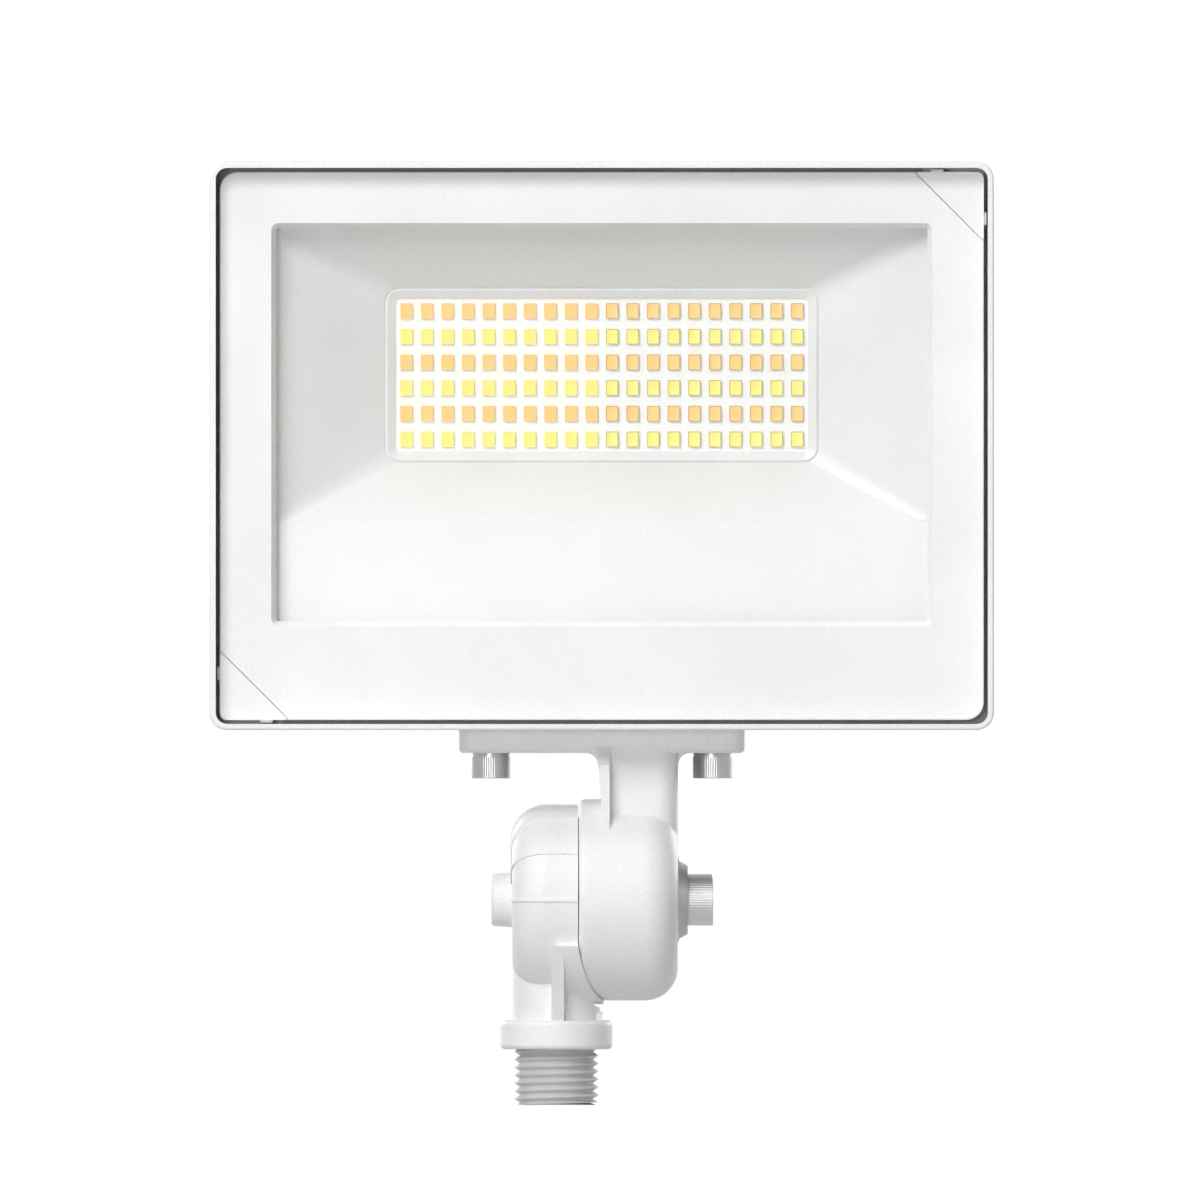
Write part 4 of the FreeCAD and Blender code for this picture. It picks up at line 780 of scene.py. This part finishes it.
class FinishShelf:
    """Makes each finish's material once."""

    def __init__(self) -> None:
        """Start with no material made."""
        self.made: dict[str, bpy.types.Material] = {}

    def get(self, finish: Finish) -> bpy.types.Material:
        """Return a finish's material.

        Args:
            finish: The finish.

        Returns:
            Its material.
        """
        if finish.name not in self.made:
            self.made[finish.name] = finish.material()
        return self.made[finish.name]

    def dress(self, piece: bpy.types.Object, *finishes: Finish) -> None:
        """Give a piece its finishes, one for each material slot.

        Args:
            piece: The object to dress.
            finishes: Its finishes in the order of its slots.
        """
        while len(piece.material_slots) < len(finishes):
            piece.data.materials.append(None)
        for slot, finish in zip(piece.material_slots, finishes):
            slot.material = self.get(finish)


@dataclass
class StemThread:
    """Threaded stem end: the skin of right-hand turns, trimmed to a nipple's chamfered end.

    Attributes:
        crest: The thread's outer radius.
        root: Its inner radius.
        pitch: From one turn to the next.
        right_crest: The height of a crest on the right-hand side.
        length: From the flange to the nipple's end.
        chamfer: The bevel at that end.
        bore: The radius of the hole through the blank.
        spigot: The radius of the blank's plain part inside the stem.
        spigot_length: How long that part is.
        turns: How many turns there are before the ends are cut.
        turns_below: How many of them lie below the crest on the right.
        steps: How many steps a turn has.
        flat: Half the width of crests and roots, as a share of the pitch.
        blank_sides: How many sides the blank has.
        smooth_deg: Edges that bend by less than this are shaded smooth.
    """

    crest: float = 10.45 * MM
    root: float = 9.25 * MM
    pitch: float = 1.97 * MM
    right_crest: float = -1.585 * MM
    length: float = 14.0 * MM
    chamfer: float = 0.8 * MM
    bore: float = 7.0 * MM
    spigot: float = 9.0 * MM
    spigot_length: float = 6.0 * MM
    turns: int = 14
    turns_below: int = 8
    steps: int = 72
    flat: float = 0.05
    blank_sides: int = 96
    smooth_deg: float = 28.0

    def turn_thread(self) -> bpy.types.Object:
        """Turn a long threaded rod about the origin's axis.

        Returns:
            The rod, cut at both ends.
        """
        Bench.put_down()
        bpy.ops.mesh.primitive_plane_add(size=self.pitch)
        rod = bpy.context.object
        foot = self.right_crest - self.pitch / 2 - self.turns_below * self.pitch
        outline = [
            (self.root, 0.0),
            (self.root, self.flat),
            (self.crest, 0.5 - self.flat),
            (self.crest, 0.5 + self.flat),
            (self.root, 1.0 - self.flat),
            (self.root, 1.0),
        ]
        with Bench.editing(rod, Pick.CORNER):
            bpy.ops.mesh.select_all(action="SELECT")
            bpy.ops.mesh.merge(type="CENTER")
            bpy.ops.mesh.select_all(action="SELECT")
            bpy.ops.transform.translate(value=(self.root, 0.0, foot))
            for here, ahead in zip(outline, outline[1:]):
                step = (ahead[0] - here[0], 0.0, (ahead[1] - here[1]) * self.pitch)
                bpy.ops.mesh.extrude_region_move(TRANSFORM_OT_translate={"value": step})
        screw = rod.modifiers.new("turns", "SCREW")
        screw.axis = "Z"
        screw.screw_offset = self.pitch
        screw.iterations = self.turns
        screw.steps = self.steps
        screw.render_steps = self.steps
        Bench.take(rod)
        bpy.ops.object.modifier_apply(modifier=screw.name)
        with Bench.editing(rod, Pick.FACE):
            low, high = -self.length - self.pitch, self.spigot_length + self.pitch
            for height, up in ((low, 1.0), (high, -1.0)):
                bpy.ops.mesh.select_all(action="SELECT")
                bpy.ops.mesh.bisect(
                    plane_co=(0.0, 0.0, height),
                    plane_no=(0.0, 0.0, up),
                    use_fill=True,
                    clear_inner=True,
                )
            bpy.ops.mesh.select_all(action="SELECT")
            bpy.ops.mesh.normals_make_consistent(inside=False)
        return rod

    def turn_blank(self) -> bpy.types.Object:
        """Turn the hollow nipple that the thread is trimmed to.

        Returns:
            The blank.
        """
        blank = Bench.drum("nipple_blank", self.crest, -self.length, 0.0, self.blank_sides)
        foot = NEAR - self.length
        with Bench.editing(blank, Pick.EDGE):
            Bench.select(blank, Pick.EDGE, lambda edge: all(v.co.z < foot for v in edge.verts))
            bpy.ops.mesh.bevel(offset=self.chamfer, segments=1, affect="EDGES")
        with Bench.editing(blank, Pick.FACE):
            Bench.select(blank, Pick.FACE, lambda face: face.normal.z > SQUARE)
            bpy.ops.mesh.inset(thickness=self.crest - self.spigot)
            rise = (0.0, 0.0, self.spigot_length)
            bpy.ops.mesh.extrude_region_move(TRANSFORM_OT_translate={"value": rise})
            bpy.ops.mesh.inset(thickness=self.spigot - self.bore)
            Bench.select(
                blank,
                Pick.FACE,
                lambda face: face.normal.z < -SQUARE and face.calc_center_median().z < foot,
            )
            bpy.ops.mesh.inset(thickness=self.crest - self.chamfer - self.bore)
            Bench.select(
                blank,
                Pick.FACE,
                lambda face: abs(face.normal.z) > SQUARE
                and face.calc_center_median().xy.length < NEAR,
            )
            bpy.ops.mesh.bridge_edge_loops()
        return blank

    def build(self, shelf: FinishShelf) -> None:
        """Model the thread's skin and put it in the solid's place.

        Args:
            shelf: Where its finish comes from.
        """
        nipple = self.turn_thread()
        Bench.carve(nipple, self.turn_blank(), Carve.KEEP)
        nipple = Bench.gather([nipple], "stem_thread")
        Bench.settle(nipple, self.smooth_deg)
        shelf.dress(nipple, THREAD_COAT)
        Bench.hand_over(nipple, Body.BASE, "thread_coat", ("threaded_nipple",))


@dataclass(frozen=True)
class CapScrew:
    """Socket head cap screw with a straight knurl, standing on its head's seat.

    Attributes:
        head_radius: The head's radius over the knurl.
        head_height: How high the head is.
        shank_radius: The shank's radius.
        key: The width of the key's socket across its flats.
        key_depth: How deep the socket's straight walls are.
        teeth: How many teeth the knurl has.
        knurl: How deep the grooves between them are.
        tooth_sides: How many of the head's sides make a tooth.
        chamfer: The bevel round the head's top.
        key_sides: How many flats the key has.
        key_point: How narrow and deep the socket's floor ends, as shares of the key.
        shank_sides: How many sides the shank has.
        shank_chamfer: The bevel at the shank's end.
    """

    head_radius: float
    head_height: float
    shank_radius: float
    key: float
    key_depth: float
    teeth: int
    knurl: float = 0.05 * MM
    tooth_sides: int = 4
    chamfer: float = 0.15 * MM
    key_sides: int = 6
    key_point: tuple[float, float] = (0.25, 0.125)
    shank_sides: int = 48
    shank_chamfer: float = 0.6 * MM

    def turn_head(self) -> bpy.types.Object:
        """Turn the knurled head, upright from the origin.

        Returns:
            The head.
        """
        sides = self.tooth_sides * self.teeth
        shoulder = self.head_height - self.chamfer
        head = Bench.drum("screw_head", self.head_radius, 0.0, shoulder, sides)
        with Bench.editing(head, Pick.CORNER):
            step = math.tau / sides

            def in_groove(corner: bmesh.types.BMVert) -> bool:
                """Tell whether a corner lies in a groove of the knurl."""
                place = round(math.atan2(corner.co.y, corner.co.x) / step)
                return place % self.tooth_sides == 1

            Bench.select(head, Pick.CORNER, in_groove)
            waist = 1.0 - self.knurl / self.head_radius
            bpy.ops.transform.resize(value=(waist, waist, 1.0), center_override=(0.0, 0.0, 0.0))
        with Bench.editing(head, Pick.FACE):
            top = shoulder - NEAR
            Bench.select(head, Pick.FACE, lambda face: face.calc_center_median().z > top)
            rise = (0.0, 0.0, self.chamfer)
            bpy.ops.mesh.extrude_region_move(TRANSFORM_OT_translate={"value": rise})
            narrow = 1.0 - self.chamfer / self.head_radius
            bpy.ops.transform.resize(value=(narrow, narrow, 1.0), center_override=(0.0, 0.0, 0.0))
        return head

    def turn(self, shank_length: float) -> bpy.types.Object:
        """Turn the whole screw with its head up.

        Args:
            shank_length: From the head's seat to the shank's end.

        Returns:
            The screw.
        """
        screw = self.turn_head()
        socket = Bench.drum(
            "key_socket",
            self.key / math.sqrt(3.0),
            self.head_height - self.key_depth,
            self.head_height + self.key_depth,
            self.key_sides,
        )
        with Bench.editing(socket, Pick.FACE):
            Bench.select(socket, Pick.FACE, lambda face: face.normal.z < -SQUARE)
            narrow, deep = (share * self.key for share in self.key_point)
            bpy.ops.mesh.inset(thickness=narrow, depth=deep)
        Bench.carve(screw, socket, Carve.CUT)
        shank = Bench.drum(
            "shank", self.shank_radius, -shank_length, self.chamfer, self.shank_sides
        )
        with Bench.editing(shank, Pick.EDGE):
            low = NEAR - shank_length
            Bench.select(shank, Pick.EDGE, lambda edge: all(v.co.z < low for v in edge.verts))
            bpy.ops.mesh.bevel(offset=self.shank_chamfer, segments=1, affect="EDGES")
        Bench.carve(screw, shank, Carve.ADD)
        return screw


@dataclass
class PlateFasteners:
    """The two cap screws that hold the head's plate.

    Attributes:
        screw: What each of them is.
        smooth_deg: Edges that bend by less than this are shaded smooth.
    """

    screw: CapScrew = CapScrew(
        head_radius=5.0 * MM,
        head_height=5.3 * MM,
        shank_radius=3.0 * MM,
        key=5.0 * MM,
        key_depth=2.6 * MM,
        teeth=46,
    )
    smooth_deg: float = 20.0

    def build(self, shelf: FinishShelf) -> None:
        """Model the screws and put them in the solids' place.

        Args:
            shelf: Where their finish comes from.
        """
        low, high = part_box("plate_screws")
        radius, height = self.screw.head_radius, self.screw.head_height
        screw = self.screw.turn(high.z - low.z - height)
        Bench.take(screw)
        screw.rotation_euler = (math.pi, 0.0, 0.0)
        screw.location = (low.x + radius, 0.0, low.z + height)
        bpy.ops.object.transform_apply(location=True, rotation=True, scale=True)
        other = Bench.copy(screw, (high.x - low.x - 2 * radius, 0.0, 0.0))
        pair = Bench.gather([screw, other], "plate_cap_screws")
        Bench.settle(pair, self.smooth_deg)
        shelf.dress(pair, SCREW_STEEL)
        Bench.hand_over(pair, Body.HEAD, "bright_steel", ("plate_screws",))


@dataclass
class ClampBolt:
    """The cap screw along the tilt axis.

    Attributes:
        screw: What it is.
        smooth_deg: Edges that bend by less than this are shaded smooth.
    """

    screw: CapScrew = CapScrew(
        head_radius=6.45 * MM,
        head_height=8.0 * MM,
        shank_radius=4.0 * MM,
        key=6.0 * MM,
        key_depth=4.0 * MM,
        teeth=56,
    )
    smooth_deg: float = 20.0

    def build(self, shelf: FinishShelf) -> None:
        """Model the bolt and put it in the solid's place.

        Args:
            shelf: Where its finish comes from.
        """
        low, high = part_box("clamp_bolt")
        height = self.screw.head_height
        bolt = self.screw.turn(high.x - low.x - height)
        Bench.take(bolt)
        bolt.rotation_euler = (0.0, math.pi / 2, 0.0)
        bolt.location = (high.x - height, 0.0, (low.z + high.z) / 2)
        bolt = Bench.gather([bolt], "clamp_cap_bolt")
        Bench.settle(bolt, self.smooth_deg)
        shelf.dress(bolt, BOLT_STEEL)
        Bench.hand_over(bolt, Body.CLAMP, "bright_steel", ("clamp_bolt",))


class Tint(Enum):
    """The two tints of chips, with their solids."""

    WARM = "warm_leds"
    COOL = "cool_leds"


# The finishes of each tint's faces and darker edges
CHIP_FINISHES = {
    Tint.WARM: (WARM_PHOSPHOR, WARM_EDGE),
    Tint.COOL: (COOL_PHOSPHOR, COOL_EDGE),
}


@dataclass
class LightRows:
    """One tint's chips: three rows, with a darker edge on the right half.

    Attributes:
        tint: Which chips they are.
        width: A chip's width.
        height: Its height.
        pitch: From one column to the next.
        columns: How many chips a row has.
        rows: How many rows there are.
        left_edge: The width of the edge round a face on the left half.
        right_edge: The same on the right half.
        sink: How far a face lies behind its edge.
        corner: How far a chip's corners are rounded.
        corner_steps: How many steps a corner has.
        smooth_deg: Edges that bend by less than this are shaded smooth.
    """

    tint: Tint
    width: float = 3.1 * MM
    height: float = 3.85 * MM
    pitch: float = 5.15 * MM
    columns: int = 20
    rows: int = 3
    left_edge: float = 0.1 * MM
    right_edge: float = 0.2 * MM
    sink: float = 0.06 * MM
    corner: float = 0.25 * MM
    corner_steps: int = 2
    smooth_deg: float = 25.0

    def mould_chip(self, edge: float) -> bpy.types.Object:
        """Mould the first chip of the lowest row.

        Args:
            edge: The width of its edge.

        Returns:
            The chip, with a slot for its face and one for the rest.
        """
        low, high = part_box(self.tint.value)
        centre = (low.x + self.width / 2, (low.y + high.y) / 2, low.z + self.height / 2)
        Bench.put_down()
        bpy.ops.mesh.primitive_cube_add(size=1.0, location=centre)
        chip = bpy.context.object
        chip.scale = (self.width, high.y - low.y, self.height)
        bpy.ops.object.transform_apply(location=True, rotation=True, scale=True)
        with Bench.editing(chip, Pick.EDGE):
            Bench.select(
                chip,
                Pick.EDGE,
                lambda side: abs((side.verts[0].co - side.verts[1].co).y) > self.sink,
            )
            bpy.ops.mesh.bevel(offset=self.corner, segments=self.corner_steps, affect="EDGES")
        with Bench.editing(chip, Pick.FACE):
            Bench.select(chip, Pick.FACE, lambda face: face.normal.y < -SQUARE)
            bpy.ops.mesh.inset(thickness=edge)
            bpy.ops.transform.translate(value=(0.0, self.sink, 0.0))
        chip.data.materials.append(None)
        chip.data.materials.append(None)
        front = max(chip.data.polygons, key=lambda face: -face.normal.y * face.area)
        for face in chip.data.polygons:
            face.material_index = 0 if face.index == front.index else 1
        return chip

    def build(self, shelf: FinishShelf) -> None:
        """Model the chips and put them in the solids' place.

        Args:
            shelf: Where their finishes come from.
        """
        face, edge = CHIP_FINISHES[self.tint]
        low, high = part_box(self.tint.value)
        row_step = (high.z - low.z - self.height) / (self.rows - 1)
        half = self.columns // 2
        left = self.mould_chip(self.left_edge)
        right = self.mould_chip(self.right_edge)
        right.location = (half * self.pitch, 0.0, 0.0)
        for chip, finishes in ((left, (face, face)), (right, (face, edge))):
            shelf.dress(chip, *finishes)
            Bench.repeat(chip, half, (self.pitch, 0.0, 0.0))
            Bench.repeat(chip, self.rows, (0.0, 0.0, row_step))
        name = f"{self.tint.name.lower()}_chips"
        chips = Bench.gather([left, right], name)
        slot = f"{self.tint.name.lower()}_phosphor"
        Bench.settle(chips, self.smooth_deg)
        Bench.hand_over(chips, Body.HEAD, slot, (self.tint.value,))


@dataclass(frozen=True)
class Lamp:
    """A soft lamp that points at the object.

    Attributes:
        name: Its name.
        place: Where it stands.
        face: How wide and high it is.
        power: Its power in watts.
    """

    name: str
    place: Point
    face: tuple[float, float]
    power: float


LAMPS = (
    Lamp("key_lamp", (-0.71, -1.54, 1.19), (0.7, 0.7), 21.5),
    Lamp("front_lamp", (-0.45, -2.5, 0.1), (0.4, 0.5), 14.5),
    Lamp("top_lamp", (-0.25, -0.56, 2.03), (0.7, 0.7), 8.5),
    Lamp("left_lamp", (-1.63, -0.77, 0.98), (0.7, 0.7), 3.2),
    Lamp("right_lamp", (1.29, -1.28, 0.98), (0.7, 0.7), 3.0),
    Lamp("back_lamp_right", (1.2, 1.7, 0.55), (0.9, 0.9), 15.0),
    Lamp("back_lamp_left", (-1.0, 1.8, 0.45), (0.9, 0.9), 9.0),
)


@dataclass
class Studio:
    """Pale floor, soft lamps, white surroundings and the camera.

    Attributes:
        view_width: The width of what the camera sees at the object.
        aim: The middle of the picture.
        distance: From the camera to the aim.
        sensor: The width of the camera's sensor in millimetres.
        far_clip: How far the camera sees.
        floor_side: The length of the floor's side.
        floor_drop: How far the floor lies below the object.
        floor_tone: How pale the floor is where lamps light it.
        floor_rough: Its roughness.
        floor_white: How white it looks by the object, apart from its own tone.
        fade: Where it starts to fade from that to white, and where it ends.
        ambient: How strongly the surroundings light the object.
        middle: What the lamps point at.
    """

    view_width: float = 300.0 * MM
    aim: Point = (10.9 * MM, -23.0 * MM, 112.5 * MM)
    distance: float = 12.0
    sensor: float = 36.0
    far_clip: float = 50.0
    floor_side: float = 9.0
    floor_drop: float = 0.1 * MM
    floor_tone: float = 0.58
    floor_rough: float = 0.9
    floor_white: float = 0.95
    fade: tuple[float, float] = (0.012, 0.045)
    ambient: float = 0.06
    middle: Point = (0.01, 0.0, 0.13)

    def place_camera(self) -> None:
        """Add the camera straight in front of the object."""
        lens = bpy.data.cameras.new("front_camera")
        lens.sensor_width = self.sensor
        lens.lens = self.sensor * self.distance / self.view_width
        lens.clip_end = self.far_clip
        camera = bpy.data.objects.new("front_camera", lens)
        camera.location = (self.aim[0], self.aim[1] - self.distance, self.aim[2])
        camera.rotation_euler = (math.pi / 2, 0.0, 0.0)
        bpy.context.scene.collection.objects.link(camera)
        bpy.context.scene.camera = camera

    def place_lamp(self, lamp: Lamp) -> None:
        """Add a lamp and point it at the object.

        Args:
            lamp: What to add.
        """
        data = bpy.data.lights.new(lamp.name, "AREA")
        data.shape = "RECTANGLE"
        data.size, data.size_y = lamp.face
        data.energy = lamp.power
        stand = bpy.data.objects.new(lamp.name, data)
        stand.location = lamp.place
        towards = Vector(self.middle) - Vector(lamp.place)
        stand.rotation_euler = towards.to_track_quat("-Z", "Y").to_euler()
        bpy.context.scene.collection.objects.link(stand)

    @staticmethod
    def seen(tree: bpy.types.NodeTree) -> Socket:
        """Tell what the camera sees, also in metal and through glass.

        Args:
            tree: The node tree that needs it.

        Returns:
            1 for what is seen and 0 for the rest.
        """
        rays = tree.nodes.new("ShaderNodeLightPath")
        value = rays.outputs["Is Camera Ray"]
        for kind in ("Is Glossy Ray", "Is Transmission Ray"):
            either = tree.nodes.new("ShaderNodeMath")
            either.operation = "MAXIMUM"
            tree.links.new(value, either.inputs[0])
            tree.links.new(rays.outputs[kind], either.inputs[1])
            value = either.outputs[0]
        return value

    def lay_floor(self) -> None:
        """Add a pale floor under the object that fades into the white surroundings."""
        Bench.put_down()
        level = CAD_BOX[0].z - self.floor_drop
        bpy.ops.mesh.primitive_plane_add(size=self.floor_side, location=(0.0, 0.0, level))
        floor = bpy.context.object
        floor.name = "studio_floor"
        bpy.ops.object.transform_apply(location=True, rotation=True, scale=True)
        recipe = Recipe("floor_paper")
        tone = self.floor_tone
        recipe.shader.inputs["Base Color"].default_value = (tone, tone, tone, 1.0)
        recipe.shader.inputs["Roughness"].default_value = self.floor_rough
        length = recipe.add("ShaderNodeVectorMath", operation="LENGTH")
        recipe.link(recipe.place, length.inputs[0])
        far = recipe.spread(length.outputs["Value"], self.floor_white, 1.0, *self.fade)
        share = recipe.add("ShaderNodeMath", operation="MULTIPLY")
        recipe.link(far, share.inputs[0])
        recipe.link(self.seen(recipe.tree), share.inputs[1])
        glow = recipe.add("ShaderNodeEmission")
        mix = recipe.add("ShaderNodeMixShader")
        recipe.link(share.outputs[0], mix.inputs["Fac"])
        recipe.link(recipe.shader.outputs["BSDF"], mix.inputs[1])
        recipe.link(glow.outputs["Emission"], mix.inputs[2])
        recipe.link(mix.outputs["Shader"], recipe.output.inputs["Surface"])
        floor.data.materials.append(recipe.material)

    def surround(self) -> None:
        """Make the world white where it is seen and a soft grey light elsewhere."""
        world = bpy.data.worlds.new("studio_white")
        bpy.context.scene.world = world
        world.use_nodes = True
        tree = world.node_tree
        soft = tree.nodes["Background"]
        soft.inputs["Color"].default_value = (1.0, 1.0, 1.0, 1.0)
        soft.inputs["Strength"].default_value = self.ambient
        white = tree.nodes.new("ShaderNodeBackground")
        white.inputs["Color"].default_value = (1.0, 1.0, 1.0, 1.0)
        white.inputs["Strength"].default_value = 1.0
        mix = tree.nodes.new("ShaderNodeMixShader")
        tree.links.new(self.seen(tree), mix.inputs["Fac"])
        tree.links.new(soft.outputs["Background"], mix.inputs[1])
        tree.links.new(white.outputs["Background"], mix.inputs[2])
        tree.links.new(mix.outputs["Shader"], tree.nodes["World Output"].inputs["Surface"])

    def build(self) -> None:
        """Set up the whole studio."""
        bpy.context.scene.view_settings.view_transform = "Standard"
        self.place_camera()
        self.lay_floor()
        self.surround()
        for lamp in LAMPS:
            self.place_lamp(lamp)


def dress_solids(nodes: dict[str, bpy.types.Object], shelf: FinishShelf) -> None:
    """Give every solid its finish.

    Args:
        nodes: The solids by name.
        shelf: Where their finishes come from.
    """
    for name, node in nodes.items():
        shelf.dress(node, SOLID_FINISHES[name])
        LOG.info("%s: %s", name, SOLID_FINISHES[name].name)


def main(packed: dict[str, Any]) -> None:
    """Build the studio and the object's looks.

    Args:
        packed: The loaded frame.
    """
    logging.basicConfig(level=logging.INFO, format="%(name)s: %(message)s")
    shelf = FinishShelf()
    Studio().build()
    dress_solids(packed["nodes"], shelf)
    StemThread().build(shelf)
    PlateFasteners().build(shelf)
    ClampBolt().build(shelf)
    for tint in Tint:
        LightRows(tint).build(shelf)


if __name__ == "__main__":
    main(frame)
